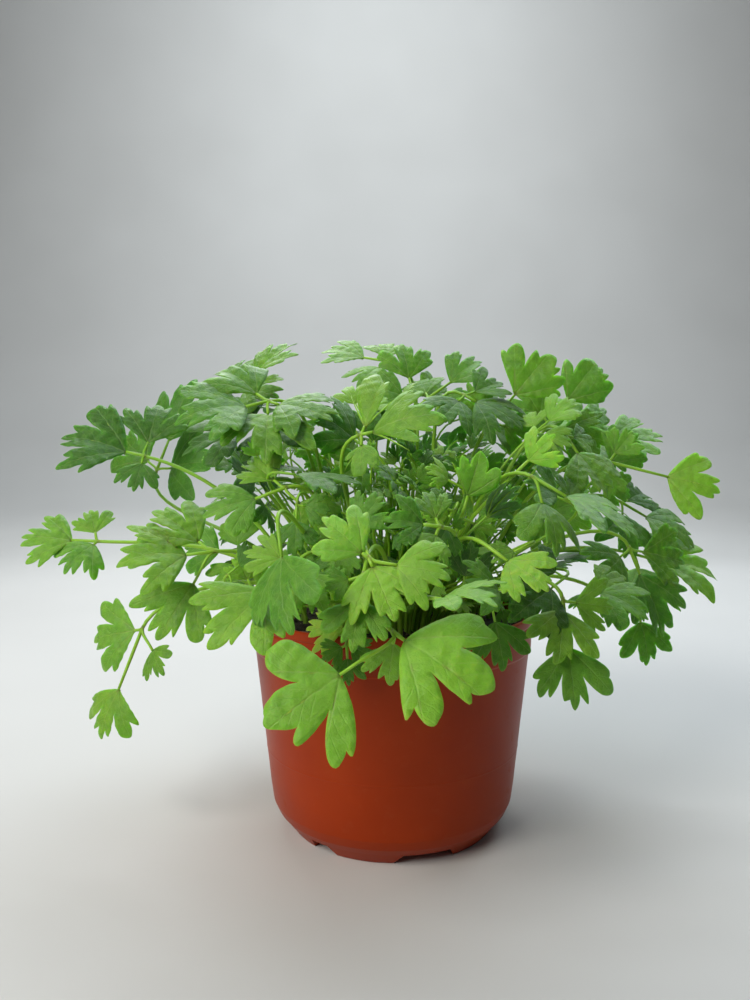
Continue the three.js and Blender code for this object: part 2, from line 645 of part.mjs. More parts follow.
const pot = makePot();
const plant = growPlant(pot, makeSoil());
const parsley = new THREE.Group();
parsley.add(meshOf("pot", pot, plain(0xa84828, 0.45)));
parsley.add(meshOf("soil", plant.ground, plain(0x3a3029, 0.95)));
plant.fronds.forEach((solid, i) => {
  const colours = Object.values(LEAF_COLOURS);
  const name = `leafy_stem_${String(i + 1).padStart(2, "0")}`;
  parsley.add(meshOf(name, solid, plain(colours[i % colours.length], 0.6)));
});

export default parsley;
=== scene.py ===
"""Looks of a potted flat-leaf parsley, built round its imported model.

+Z is up, the pot's axis is the Z axis, and the side that the photograph shows faces -Y.
Lengths are in millimetres and are turned into metres where a mesh is made. Angles are in
degrees, counted from +X towards +Y.
"""

import math
from collections import namedtuple

import bmesh
import bpy
import numpy as np
from mathutils import Euler, Matrix, Quaternion, Vector
from mathutils.geometry import delaunay_2d_cdt
from mathutils.kdtree import KDTree


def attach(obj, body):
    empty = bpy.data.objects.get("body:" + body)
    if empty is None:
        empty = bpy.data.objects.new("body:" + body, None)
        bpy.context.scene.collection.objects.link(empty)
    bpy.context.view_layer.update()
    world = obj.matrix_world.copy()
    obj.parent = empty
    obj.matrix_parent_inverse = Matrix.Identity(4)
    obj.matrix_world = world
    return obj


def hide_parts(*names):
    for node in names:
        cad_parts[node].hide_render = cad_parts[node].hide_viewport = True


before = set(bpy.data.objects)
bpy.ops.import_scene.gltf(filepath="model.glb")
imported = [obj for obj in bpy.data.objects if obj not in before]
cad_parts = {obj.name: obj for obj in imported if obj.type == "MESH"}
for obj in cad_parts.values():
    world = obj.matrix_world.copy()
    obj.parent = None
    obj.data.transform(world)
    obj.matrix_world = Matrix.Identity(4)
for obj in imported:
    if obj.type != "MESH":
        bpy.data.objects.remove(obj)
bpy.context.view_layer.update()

MM = 0.001
UP = Vector((0, 0, 1))

# ---- Pot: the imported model's sizes ----
RIM_RADIUS = 60
POT_HEIGHT = 91.4
POT_SEGMENTS = 160
WALL = 1.5
LIP_HEIGHT = 4
GROOVE = 0.6
COLLAR_DEPTH = 15.3
COLLAR_STEP = 0.8
BODY_TOP_RADIUS = 58.5
BODY_FOOT_RADIUS = 52.5
CORNER_HEIGHT = 20
SEAM = {"height": 34.5, "depth": 0.12}  # the faint mould line round the body
FOOT_HEIGHT = 5
FOOT_RADIUS = 43.2
FOOT_WIDTH = 2.6
FLOOR_THICKNESS = 1.6
FOOT_GAPS = [
    {"centre": -74, "bottom": 25, "top": 19},
    {"centre": -129, "bottom": 12, "top": 8},
]
FOOT_REPEATS = 3
GAP_CUT = {"inside": 4, "depth": 14, "under_floor": 0.3}
DRAIN_HOLES = 6
DRAIN_RADIUS = 3.5
DRAIN_CIRCLE = 30

# ---- Soil ----
SOIL_LEVEL = 85
SOIL_RADIUS = 56.2
SOIL_LIMITS = (SOIL_LEVEL - 2.5, SOIL_LEVEL + 1.2)
SOIL_WAVES = {"octaves": 6, "each": 3, "pitch": 0.06, "size": 0.5, "fading": 0.78}
SOIL_GRAIN = 0.16
SOIL_RINGS = 46
SOIL_AROUND = 150
# Radii and heights of the block's side, from under the surface's edge to the pot's floor.
SOIL_WALLS = [(56.2, 76.1), (50.4, 20.5), (48.6, 13.2), (46, 8.6), (42.5, 6.95)]
SOIL_CRUMBS = 900
CRUMB_SPREAD = 0.97
CRUMB_SIZE = {"range": (0.35, 1.0), "most": 1.7, "least": 0.25}
CRUMB_LIFT = 0.1
FIBRES = {"share": 0.15, "length": (2, 5), "section": (0.3, 0.25)}
OCTAHEDRON = [(1, 0, 0), (0, 1, 0), (-1, 0, 0), (0, -1, 0), (0, 0, 1), (0, 0, -1)]
OCTAHEDRON_FACES = np.array([
    (0, 1, 4), (1, 2, 4), (2, 3, 4), (3, 0, 4), (1, 0, 5), (2, 1, 5), (3, 2, 5), (0, 3, 5)])

# ---- Leafy stems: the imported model's rule ----
ROOT_DEPTH = 9
ROOT_CIRCLE = 46
ROOT_REACH = {"least": 6, "share": 0.3}
CROWN_HEIGHT = 3
STEM_HANDLES = {"up": 0.4, "outwards": 0.08, "arriving": 0.28}
CAD_LEAF_THICKNESS = 0.75
LEAF_RANGES = {"reach": (0.92, 1.06), "curl": (0.3, 0.9), "fold": (0.05, 0.3), "cup": (0.1, 0.6)}
SIDE_RANGES = {"turn": (62, 76), "lift": (-16, 4), "size": (0.78, 0.88)}
SIDE_STALK = 0.26
MAX_BENDS = 1500
BEND_AMOUNT = {"first": 0.1, "step": 1 / 500, "most": 2.5}
BEND_SWINGS = {"base": 9, "heading": 24, "pitch": 18, "roll": 30, "root": 9}
MATCH = 0.08  # how near a recovered leaflet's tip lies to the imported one
SEEN_FACE = (0.8, 0.3, 0.75)  # up, outwards from the pot, to the light in front
FULL_FACE = (0.35, 0.1, 1)
ASIDE_FACE = (0.2, 1.5, -1)
UP_FACE = (1, 0.25, 0)
HIDDEN_FACE = (0.8, 0.6, 0)
HALF_OUTLINE = [
    (8, 0.87), (15, 0.86), (22, 0.47), (30, 0.83), (40, 0.95), (50, 0.75), (57, 0.79), (64, 0.5),
]

# ---- Finer form of stems and leaflets ----
STEM_RADII = (1.05, 0.72)  # at the soil and at the hub
STALK_RADII = (0.7, 0.56)
SMALL_STEMS = 0.75  # thickness of the small fronds' stems, as a share of the others'
YOUNG_STEMS = 0.62
STEM_SIDES = 8
STEM_STEPS = 16
SIDE_STEPS = 5
SIDE_ROOT = 1.2  # how far before the hub a side leaflet's stalk leaves the stem
BLADE_THICKNESS = 0.2
RIM_THINNING = {"share": 0.6, "width": 0.05}
FINE_SPACING = 0.052  # between a template's points, in leaflet lengths
COARSE_SPACING = 0.09
TEMPLATES = 10
VEIN_FAN = 40  # between the three main veins, which part at the leaflet's base


def stem(base, length, heading, pitch, stalk, tone, **more):
    """A frond: its end leaflet's base, length and direction, the stalk from the hub to it, and a
    tone from 0, old and dark, to 1, young and yellow. more has what isn't as usual of the way
    that it faces, its root's shift and its sides, each a turn, a lift, a stalk and a size."""
    return {"face": SEEN_FACE, "base": base, "length": length, "heading": heading,
            "pitch": pitch, "stalk": stalk, "tone": tone, **more}


# Fronds that the photograph shows.
SEEN_FRONDS = [
    # Over the rim in front.
    stem((2, -95, 99), 34, -21, -33, 4, 0.75, shift=(-18, 4),
         sides=[(-102, 0, 22, 0.88), (-56, -52, 4, 0.45)]),
    stem((-43, -80, 112), 27, -138, -36, 15, 0.68, sides=[(65, -10, 6, 0.6), (-67, 2, 6, 0.5)]),
    stem((62, -60, 88), 22, -78, -74, 17, 0.66, face=FULL_FACE,
         sides=[(-16, 16, 4, 0.95), (80, -8, 5, 0.7)]),
    stem((-38, -91, 124), 26, -66, -60, 10, 0.53, face=ASIDE_FACE, shift=(-6, -6), sides=[]),
    stem((-8, -93, 122), 20, -58, -50, 3, 0.84, sides=[(-150, 10, 3, 0.9), (54, 2, 9, 0.9)]),
    stem((13, -100, 113), 21, -42, 2, 8, 0.7, face=UP_FACE, sides=[]),
    stem((38, -72, 121), 18, -38, -30, 10, 0.78, sides=[]),
    # Left side.
    stem((-138, 0, 121), 22, 180, 3, 11, 0.68, sides=[(62, 0, 2, 0.85), (-66, 4, 5, 0.65)]),
    stem((-117, 10, 159), 30, 180, 13, 8, 0.45, sides=[(-84, 4, 8, 0.8), (96, -10, 4, 0.5)]),
    stem((-112, -22, 62), 21, -156, -68, 26, 0.62, sides=[(62, 6, 12, 0.62), (-62, 0, 4, 1.15)]),
    stem((-78, -45, 120), 26, -156, -4, 10, 0.66, sides=[(-52, 4, 7, 0.9), (42, -36, 14, 0.95)]),
    stem((-52, -45, 141), 21, -160, -19, 12, 0.66, sides=[(-70, 0, 6, 0.75), (110, -20, 8, 0.8)]),
    stem((-107, 45, 165), 34, 40, 66, 16, 0.45),
    # Top.
    stem((-59, -20, 177), 31, -151, -14, 10, 0.55,
         sides=[(62, -8, 8, 0.9), (-70, 4, 7, 0.8), (118, 4, 5, 0.85)]),
    stem((-65, 0, 168), 27, -161, -22, 12, 0.35),
    stem((-8, -40, 166), 31, -24, 11, 5, 0.62, sides=[(74, 0, 4, 0.85), (-84, -6, 5, 0.55)]),
    stem((-19, -20, 167), 22, -153, 38, 10, 0.5),
    stem((-59, 28, 194), 24, 12, 36, 12, 0.6),
    stem((-13, 75, 208), 24, 166, 10, 12, 0.6),
    stem((10, 60, 196), 22, 111, 60, 12, 0.6),
    stem((29, 40, 192), 20, 17, 34, 14, 0.56),
    stem((36, 0, 180), 24, -24, -30, 6, 0.42, sides=[(-84, -4, 5, 0.85), (70, 4, 6, 0.7)]),
    stem((55, 14, 184), 25, 0, 50, 16, 0.62, face=FULL_FACE, shift=(6, 6),
         sides=[(72, 1, 6, 0.6), (-66, -8, 6, 0.6)]),
    stem((86, 45, 184), 27, 18, 50, 16, 0.62, face=FULL_FACE, shift=(-2, 4)),
    # Right side.
    stem((91, 50, 170), 30, 40, 24, 14, 0.62, shift=(2, -4)),
    stem((116, 74, 166), 28, 4, 2, 14, 0.62, shift=(6, 4)),
    stem((100, 30, 154), 19, 10, 46, 12, 0.6, face=FULL_FACE),
    stem((121, 8, 147), 23, -11, -15, 26, 0.66, face=FULL_FACE,
         sides=[(68, 1, 5, 0.6), (-75, -2, 5, 0.55)]),
    stem((125, 45, 127), 28, -7, -31, 14, 0.52, shift=(0, 4)),
    stem((63, -50, 142), 30, -29, -29, 14, 0.57, face=HIDDEN_FACE, shift=(0, 8),
         sides=[(-35, -25, 12, 0.75)]),
    stem((76, -15, 158), 23, -45, -50, 10, 0.54, sides=[(71, -14, 5, 0.55), (-74, -15, 5, 0.45)]),
    stem((82, -30, 103), 21, -27, -25, 5, 0.6, sides=[(60, -6, 4, 0.75), (-70, -6, 4, 0.55)]),
    stem((108, 0, 107), 28, -41, -66, 12, 0.56),
    stem((129, 33, 108), 31, 0, -12, 14, 0.6, shift=(2, -5)),
    stem((122, 42, 76), 21, -60, -76, 18, 0.6, face=FULL_FACE, shift=(0, -2)),
    # Small fronds in the middle.
    stem((51, -40, 156), 14, -27, 45, 10, 0.86, shift=(-6, 0), sides=[]),
    stem((28, -48, 141), 19, -15, 72, 9, 0.62, face=FULL_FACE,
         sides=[(95, 0, 5, 0.6), (-95, 0, 5, 0.5)]),
    stem((-14, -97, 114), 17, -112, -64, 8, 0.62, shift=(4, 10),
         sides=[(73, 3, 5, 0.5), (-65, -12, 5, 0.5)]),
    stem((-12, -58, 130), 14, -10, 50, 8, 0.6, face=FULL_FACE, shift=(-6, 0),
         sides=[(100, -10, 4, 0.7), (-130, -10, 4, 0.6)]),
    stem((8, -72, 132), 14, -160, 10, 6, 0.6, face=FULL_FACE, shift=(4, 4)),
]
HIDDEN_RINGS = [
    {"count": 5, "from": 45, "to": 150, "reach": 87, "height": 92, "length": 28, "pitch": -42},
    {"count": 3, "from": 60, "to": 140, "reach": 88, "height": 136, "length": 29, "pitch": -8},
]
RING_SEED = 2024
RING_TONE_STEP = 0.37
RING_STALK = 14
RING_JITTER = {"azimuth": 5, "reach": 5, "height": 6, "heading": 14, "pitch": 8}
HIDDEN_TONES = (0.4, 0.65)

# ---- Small fronds that only this scene has ----
SMALL_FRONDS = [
    # Left of the middle, from the top down.
    stem((-53, -30, 157), 7.6, -140, 66, 4, 0.86, face=FULL_FACE, sides=[(-70, 0, 3, 1)]),
    stem((-37, -42, 150), 25.8, -9, -7, 6, 0.4, face=(1, 0, 0.1), sides=[(100, 0, 4, 0.5)]),
    stem((-35, -62, 134), 13.1, -89, -68, 6, 0.5, face=FULL_FACE, sides=[(80, -5, 3, 0.75)]),
    stem((-57, -52, 117), 10, 0, 39, 5, 0.45, sides=[(-100, 0, 4, 0.7)]),
    stem((-32, -66, 116), 11.4, -11, 27, 5, 0.42, sides=[]),
    stem((-55, -46, 111), 11, -154, 66, 5, 0.8, face=FULL_FACE, sides=[(-62, 0, 3, 0.8)]),
    stem((-24, -70, 112), 9.8, -16, 42, 4, 0.55, sides=[]),
    # Right of the middle, from the top down.
    stem((20, -46, 148), 10.9, -156, 27, 7, 0.8, sides=[(150, -30, 3, 0.9)]),
    stem((33, -56, 135), 16.8, 0, 43, 6, 0.36, face=(0.5, 0, -0.3), sides=[]),
    stem((16, -56, 134), 6.5, -149, 53, 5, 0.72, face=FULL_FACE, sides=[(-95, 0, 3, 0.8)]),
    stem((63, -36, 141), 16.1, -164, 23, 6, 0.5, sides=[(-90, 0, 3, 0.7)]),
    stem((18, -64, 132), 12, -130, -49, 7, 0.46, face=FULL_FACE, sides=[(-85, 0, 3, 0.8)]),
    stem((0, -60, 129), 7.9, -34, -26, 4, 0.5, sides=[(85, 0, 3, 0.8)]),
    stem((42, -62, 123), 10.4, -156, -19, 6, 0.62, sides=[]),
    stem((25, -60, 114), 14.1, -64, 72, 5, 0.3, face=FULL_FACE, sides=[]),
    stem((15, -74, 118), 6.7, -50, 39, 4, 0.55, sides=[(-100, 0, 3, 1)]),
    stem((35, -72, 111), 16.1, -150, 7, 6, 0.52, sides=[]),
    stem((58, -50, 108), 23.8, -146, -25, 8, 0.33, sides=[(-70, 0, 4, 0.6)]),
    # On the rim and over it.
    stem((-19, -58, 94.5), 15, 162, -4, 6, 0.9, face=(0.8, 1, 0.3), sides=[]),
    stem((-17, -67, 86), 9.5, -80, -72, 5, 0.5, face=FULL_FACE,
         sides=[(62, 0, 2, 0.9), (-62, 0, 2, 0.9)]),
    stem((36, -58, 97), 17.5, -60, -71, 7, 0.5, face=FULL_FACE, sides=[]),
]

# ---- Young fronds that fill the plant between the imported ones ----
# Each group is a zone of the plant: how many, and the ranges of azimuth, reach and height of
# the end leaflets' bases, of their length and of their pitch.
YOUNG_GROUPS = [
    {"name": "young_low", "count": 24, "seed": 11, "azimuth": (-175, -5), "reach": (10, 52),
     "height": (95, 113), "length": (5, 8), "pitch": (-30, 50), "tone": (0.45, 0.85)},
    {"name": "young_middle", "count": 30, "seed": 23, "azimuth": (10, 170), "reach": (8, 62),
     "height": (116, 150), "length": (7, 12), "pitch": (-20, 70), "tone": (0.45, 0.9)},
    {"name": "young_crown", "count": 26, "seed": 37, "azimuth": (-20, 200), "reach": (8, 72),
     "height": (150, 182), "length": (9, 15), "pitch": (-10, 60), "tone": (0.4, 0.8)},
    {"name": "young_back", "count": 26, "seed": 41, "azimuth": (0, 180), "reach": (45, 92),
     "height": (104, 180), "length": (14, 21), "pitch": (-40, 40), "tone": (0.35, 0.7)},
    {"name": "young_front", "count": 36, "seed": 53, "azimuth": (-165, -15), "reach": (4, 46),
     "height": (106, 160), "length": (7, 12), "pitch": (-20, 60), "tone": (0.4, 0.8)},
]
YOUNG_TRIES = 14
YOUNG_GAP = 0.55  # room to keep from another leaflet's middle, as a share of its size
YOUNG_STALK = 0.5
YOUNG_RANGES = {"aside": (-55, 55), "roll": (-25, 25), "shift": (-7, 7)}


Leaflet = namedtuple("Leaflet", "origin forward side length variation")
Template = namedtuple("Template", "points edge triangles rim")


# ---- Numbers and directions ----

def stream(seed):
    """A repeatable stream of numbers from 0 to 1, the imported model's own."""
    state = seed & 0xFFFFFFFF

    def draw():
        nonlocal state
        state = (state * 1664525 + 1013904223) & 0xFFFFFFFF
        return state / 4294967296

    return draw


def lerp(low, high, share):
    return low + (high - low) * share


def direction(heading, pitch):
    level, across = math.radians(pitch), math.radians(heading)
    return Vector((
        math.cos(level) * math.cos(across), math.cos(level) * math.sin(across), math.sin(level)))


def side_of(forward, facing):
    return facing.cross(forward).normalized()


def facing_of(frond):
    up, outwards, light = frond["face"]
    x, y = frond["base"][:2]
    reach = max(math.hypot(x, y), 1)
    return Vector((outwards * x / reach, outwards * y / reach - light, up)).normalized()


def turned(vector, axis, degrees):
    return Quaternion(axis, math.radians(degrees)) @ vector


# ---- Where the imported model's fronds stand ----

def hidden_fronds():
    """The fronds behind, which the photograph doesn't show, in rings round the pot's axis."""
    draw = stream(RING_SEED)

    def swing(most):
        return most * (2 * draw() - 1)

    fronds = []
    for ring in HIDDEN_RINGS:
        for i in range(ring["count"]):
            share = (i + 0.5) / ring["count"]
            azimuth = lerp(ring["from"], ring["to"], share) + swing(RING_JITTER["azimuth"])
            reach = ring["reach"] + swing(RING_JITTER["reach"])
            height = ring["height"] + swing(RING_JITTER["height"])
            heading = azimuth + swing(RING_JITTER["heading"])
            pitch = ring["pitch"] + swing(RING_JITTER["pitch"])
            tone = lerp(*HIDDEN_TONES, (i * RING_TONE_STEP) % 1)
            fronds.append(stem((*polar(azimuth, reach), height), ring["length"], heading, pitch,
                               RING_STALK, tone, face=HIDDEN_FACE))
    return fronds


def bent(frond, index, bend):
    """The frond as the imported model's rule bends it at try number bend."""
    shift = frond.get("shift", (0, 0))
    if bend == 0:
        return {**frond, "roll": 0, "shift": shift}
    draw = stream(7919 * index + 104729 * bend)
    amount = min(BEND_AMOUNT["most"], BEND_AMOUNT["first"] + BEND_AMOUNT["step"] * bend)

    def swing(most):
        return most * amount * (2 * draw() - 1)

    return {
        **frond,
        "base": tuple(value + swing(BEND_SWINGS["base"]) for value in frond["base"]),
        "heading": frond["heading"] + swing(BEND_SWINGS["heading"]),
        "pitch": frond["pitch"] + swing(BEND_SWINGS["pitch"]),
        "roll": swing(BEND_SWINGS["roll"]),
        "shift": tuple(value + swing(BEND_SWINGS["root"]) for value in shift),
    }


def leaf_stream(index):
    """The numbers that shape a frond's leaflets."""
    return stream(15485863 + 32452843 * index)


def variation_of(draw):
    def pick(name):
        return lerp(*LEAF_RANGES[name], draw())

    reaches = [pick("reach") for _ in range(2 * len(HALF_OUTLINE))]
    return {"reaches": reaches, "curl": pick("curl"), "fold": pick("fold"), "cup": pick("cup")}


def axes_of(frond):
    forward = direction(frond["heading"], frond["pitch"])
    side = turned(side_of(forward, facing_of(frond)), forward, frond["roll"])
    return forward, side, forward.cross(side)


def tips_of(frond, curl):
    """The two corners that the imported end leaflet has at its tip."""
    forward, _, normal = axes_of(frond)
    forth = 2 * math.sin(curl / 2) / curl
    tip = Vector(frond["base"]) + forward * (frond["length"] * forth)
    aside = forward * math.sin(curl / 2) + normal * math.cos(curl / 2)
    return [tip + aside * (face * CAD_LEAF_THICKNESS / 2) for face in (1, -1)]


def as_packed(frond, index, node):
    """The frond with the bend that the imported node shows."""
    vertices = node.data.vertices
    tree = KDTree(len(vertices))
    for vertex in vertices:
        tree.insert(vertex.co / MM, vertex.index)
    tree.balance()
    curl = variation_of(leaf_stream(index))["curl"]
    for bend in range(MAX_BENDS):
        tried = bent(frond, index, bend)
        if all(tree.find(tip)[2] < MATCH for tip in tips_of(tried, curl)):
            return tried
    raise ValueError(f"{node.name} stands where no bend puts it")


def root_of(hub, shift):
    reach = math.hypot(hub.x, hub.y)
    distance = min(ROOT_CIRCLE - 2, ROOT_REACH["least"] + ROOT_REACH["share"] * reach)
    drawn_in = distance / max(reach, 1)
    x, y = hub.x * drawn_in + shift[0], hub.y * drawn_in + shift[1]
    far = math.hypot(x, y)
    inside = min(1, ROOT_CIRCLE / far) if far else 1
    return x * inside, y * inside


def stem_curve(root, hub, forward, steps):
    foot = Vector((*root, SOIL_LEVEL - ROOT_DEPTH))
    crown = Vector((*root, SOIL_LEVEL + CROWN_HEIGHT))
    reach = (hub - crown).length
    outwards = Vector((hub.x - root[0], hub.y - root[1], 0)).normalized()
    rising = (crown + UP * (STEM_HANDLES["up"] * reach)
              + outwards * (STEM_HANDLES["outwards"] * reach))
    arriving = hub - forward * (STEM_HANDLES["arriving"] * reach)
    return [foot] + bezier(crown, rising, arriving, hub, steps)


def bezier(start, leaving, arriving, end, steps):
    points = []
    for i in range(steps + 1):
        t = i / steps
        points.append(start * (1 - t) ** 3 + leaving * (3 * t * (1 - t) ** 2)
                      + arriving * (3 * t * t * (1 - t)) + end * t ** 3)
    return points


def sides_of(frond, draw):
    usual = []
    for sign in (1, -1):
        turn = sign * lerp(*SIDE_RANGES["turn"], draw())
        lift = lerp(*SIDE_RANGES["lift"], draw())
        usual.append((turn, lift, SIDE_STALK * frond["length"], lerp(*SIDE_RANGES["size"], draw())))
    return frond.get("sides", usual)


# ---- Leaflet templates: one flat triangulated blade each, in leaflet lengths ----

def polar(angle, reach):
    return np.array([reach * math.cos(math.radians(angle)), reach * math.sin(math.radians(angle))])


# Kinds of key points of a margin.
T, N, S, B = "tooth", "notch", "sinus", "base"
# Ways that a half leaflet's lobes are cut: key points from the tip to the sinus, and from the
# sinus to the base. Each has a kind, an angle and a reach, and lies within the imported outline.
CENTRE_LOBES = [
    [(N, 7, 0.8), (T, 14, 0.9)],
    [(N, 6, 0.86), (T, 13, 0.88)],
    [(N, 5, 0.78), (T, 13, 0.94)],
    [(N, 8, 0.82), (T, 15, 0.89)],
]
SIDE_LOBES = [
    [(T, 28, 0.84), (N, 33, 0.76), (T, 39, 0.95), (N, 48, 0.72), (T, 57, 0.8)],
    [(T, 28, 0.83), (N, 33.5, 0.75), (T, 40.5, 0.96), (N, 49, 0.72), (T, 57, 0.81)],
    [(T, 28, 0.83), (T, 41, 0.95), (N, 49, 0.76), (T, 55, 0.81)],
    [(T, 29, 0.84), (T, 41, 0.96), (N, 50, 0.74), (T, 57, 0.79)],
]
SINUS_ANGLE = 21.5
SINUS_REACH = (0.38, 0.54)
LOBE_BASE = [(T, 65, 0.43), (B, 76, 0.1), (B, 85, 0.03)]
# Margins of the leaflets that stand out in the photograph, by the number of their frond: once
# round from the base, first the end leaflet's and then the side leaflets'.
OWN_MARGINS = {
    1: [
        [(B, -64, 0.24), (T, -52, 0.74), (N, -45, 0.65), (T, -34, 0.88), (T, -24, 0.76),
         (S, -17, 0.41), (T, -9, 0.82), (N, -3, 0.77), (T, 8, 0.97), (T, 20, 0.87),
         (S, 27, 0.55), (T, 39, 0.84), (T, 52, 0.82), (T, 63, 0.66), (B, 69, 0.36)],
        [(B, -80, 0.2), (T, -71, 0.7), (T, -45, 0.77), (T, -34, 0.62), (S, -26, 0.42),
         (T, -21, 0.68), (T, -5, 0.94), (T, 7, 0.78), (N, 14, 0.65), (T, 20, 0.8),
         (T, 28, 0.68), (S, 35, 0.4), (T, 40, 0.74), (T, 47, 0.89), (N, 56, 0.75),
         (T, 60, 0.82), (T, 66, 0.62), (B, 72, 0.34)],
    ],
    16: [
        [(B, -36, 0.24), (T, -33, 0.58), (T, -28, 0.78), (T, -22, 0.72), (S, -18, 0.56),
         (T, -15, 0.93), (N, -11, 0.81), (T, -8, 0.94), (T, -2, 1), (N, 4, 0.8), (T, 8, 0.84),
         (T, 13, 0.74), (S, 18, 0.56), (T, 24, 0.72), (T, 31, 0.79), (N, 35, 0.67),
         (T, 42, 0.7), (T, 50, 0.51), (B, 48, 0.22)],
        [(B, -38, 0.16), (T, -27, 0.36), (T, -15, 0.68), (T, -7, 0.82), (N, -2, 0.75),
         (T, 6, 0.93), (T, 14, 1.05), (T, 20, 0.93), (T, 27, 0.72), (T, 32, 0.46), (B, 34, 0.18)],
        [(B, -80, 0.1), (T, -66, 0.46), (T, -52, 0.52), (S, -40, 0.3), (T, -24, 0.6),
         (T, -12, 0.82), (T, 4, 0.8), (N, 15, 0.62), (T, 24, 0.85), (T, 36, 0.68),
         (T, 55, 0.44), (B, 75, 0.15)],
    ],
    23: [
        [(B, -63, 0.23), (T, -57, 0.58), (T, -51, 0.86), (N, -44, 0.74), (T, -38, 0.85),
         (T, -32, 0.89), (N, -25, 0.72), (T, -21, 0.9), (N, -16, 0.85), (T, -10, 0.96),
         (T, 1, 0.96), (N, 6, 0.83), (T, 14, 0.88), (S, 21, 0.55), (T, 26, 0.77), (T, 37, 0.96),
         (N, 50, 0.79), (T, 56, 0.9), (T, 60, 0.59), (B, 61, 0.14)],
    ],
    24: [
        [(B, -75, 0.13), (T, -68, 0.36), (T, -58, 0.6), (T, -44, 0.76), (T, -33, 0.9),
         (N, -26, 0.74), (T, -22, 0.84), (N, -16, 0.78), (T, -12, 0.85), (N, -6, 0.8),
         (T, 4, 0.92), (T, 18, 0.75), (S, 25, 0.49), (T, 30, 0.68), (T, 38, 0.75),
         (T, 52, 0.46), (B, 58, 0.15)],
    ],
    37: [
        [(B, -70, 0.26), (T, -55, 0.6), (T, -37, 0.83), (T, -28, 0.81), (S, -22, 0.57),
         (T, -14, 0.83), (T, 0, 0.92), (T, 8, 0.81), (N, 12, 0.6), (T, 17, 0.72), (T, 25, 0.84),
         (N, 32, 0.62), (T, 39, 0.6), (T, 44, 0.38), (B, 50, 0.12)],
    ],
}
HANDLES = {T: 0.31, B: 0.25, S: 0.28, N: 0.2}
KEY_SWINGS = {"angle": 1.3, "reach": 0.03, "tip": 2}
MARGIN_SPACING = 0.62  # between the margin's points, as a share of the others'
GRID_SWING = 0.12


def margin_keys(rng):
    """Key points of a whole margin, from the tip by one hand to the base and back by the other."""
    halves = []
    for sign in (1, -1):
        centre = CENTRE_LOBES[rng.integers(len(CENTRE_LOBES))]
        side = SIDE_LOBES[rng.integers(len(SIDE_LOBES))]
        sinus = (S, SINUS_ANGLE, rng.uniform(*SINUS_REACH))
        half = []
        for kind, angle, reach in centre + [sinus] + side + LOBE_BASE:
            if kind != B:
                angle += rng.uniform(-KEY_SWINGS["angle"], KEY_SWINGS["angle"])
                reach *= 1 + rng.uniform(-KEY_SWINGS["reach"], KEY_SWINGS["reach"])
            half.append((kind, polar(angle, reach) * [1, sign]))
        halves.append(half)
    right, left = halves
    tip = (T, polar(rng.uniform(-KEY_SWINGS["tip"], KEY_SWINGS["tip"]), 1))
    return [tip] + right + [(B, np.zeros(2))] + left[::-1]


def margin_points(keys, spacing):
    """The margin as a closed curve: round teeth with sharp notches between them."""
    count = len(keys)
    pieces = []
    for i in range(count):
        start, end = keys[i][1], keys[(i + 1) % count][1]
        span = np.linalg.norm(end - start)
        leaving = start + span * handle(keys, i, 1)
        arriving = end + span * handle(keys, (i + 1) % count, -1)
        steps = max(3, round(span / spacing))
        t = np.arange(steps)[:, None] / steps
        pieces.append(start * (1 - t) ** 3 + leaving * 3 * t * (1 - t) ** 2
                      + arriving * 3 * t ** 2 * (1 - t) + end * t ** 3)
    return np.concatenate(pieces)


def handle(keys, i, way):
    """Key point i's handle, in spans, towards the next point (way 1) or the last (way -1)."""
    kind, point = keys[i]
    if kind in (S, N):
        return HANDLES[kind] * point / np.linalg.norm(point)
    through = keys[(i + 1) % len(keys)][1] - keys[i - 1][1]
    return way * HANDLES[kind] * through / np.linalg.norm(through)


def distances_to_margin(points, margin):
    starts, ends = margin, np.roll(margin, -1, axis=0)
    along = ends - starts
    share = np.einsum("pmk,mk->pm", points[:, None] - starts, along) / (along ** 2).sum(1)
    nearest = starts + along * np.clip(share, 0, 1)[..., None]
    return np.linalg.norm(points[:, None] - nearest, axis=2).min(1)


def inside_margin(points, margin):
    x, y = points[:, :1], points[:, 1:]
    x1, y1 = margin.T
    x2, y2 = np.roll(margin, -1, axis=0).T
    crosses = (y1 > y) != (y2 > y)
    level = np.where(y2 == y1, 1, y2 - y1)
    return ((crosses & (x < (x2 - x1) * (y - y1) / level + x1)).sum(1) % 2) == 1


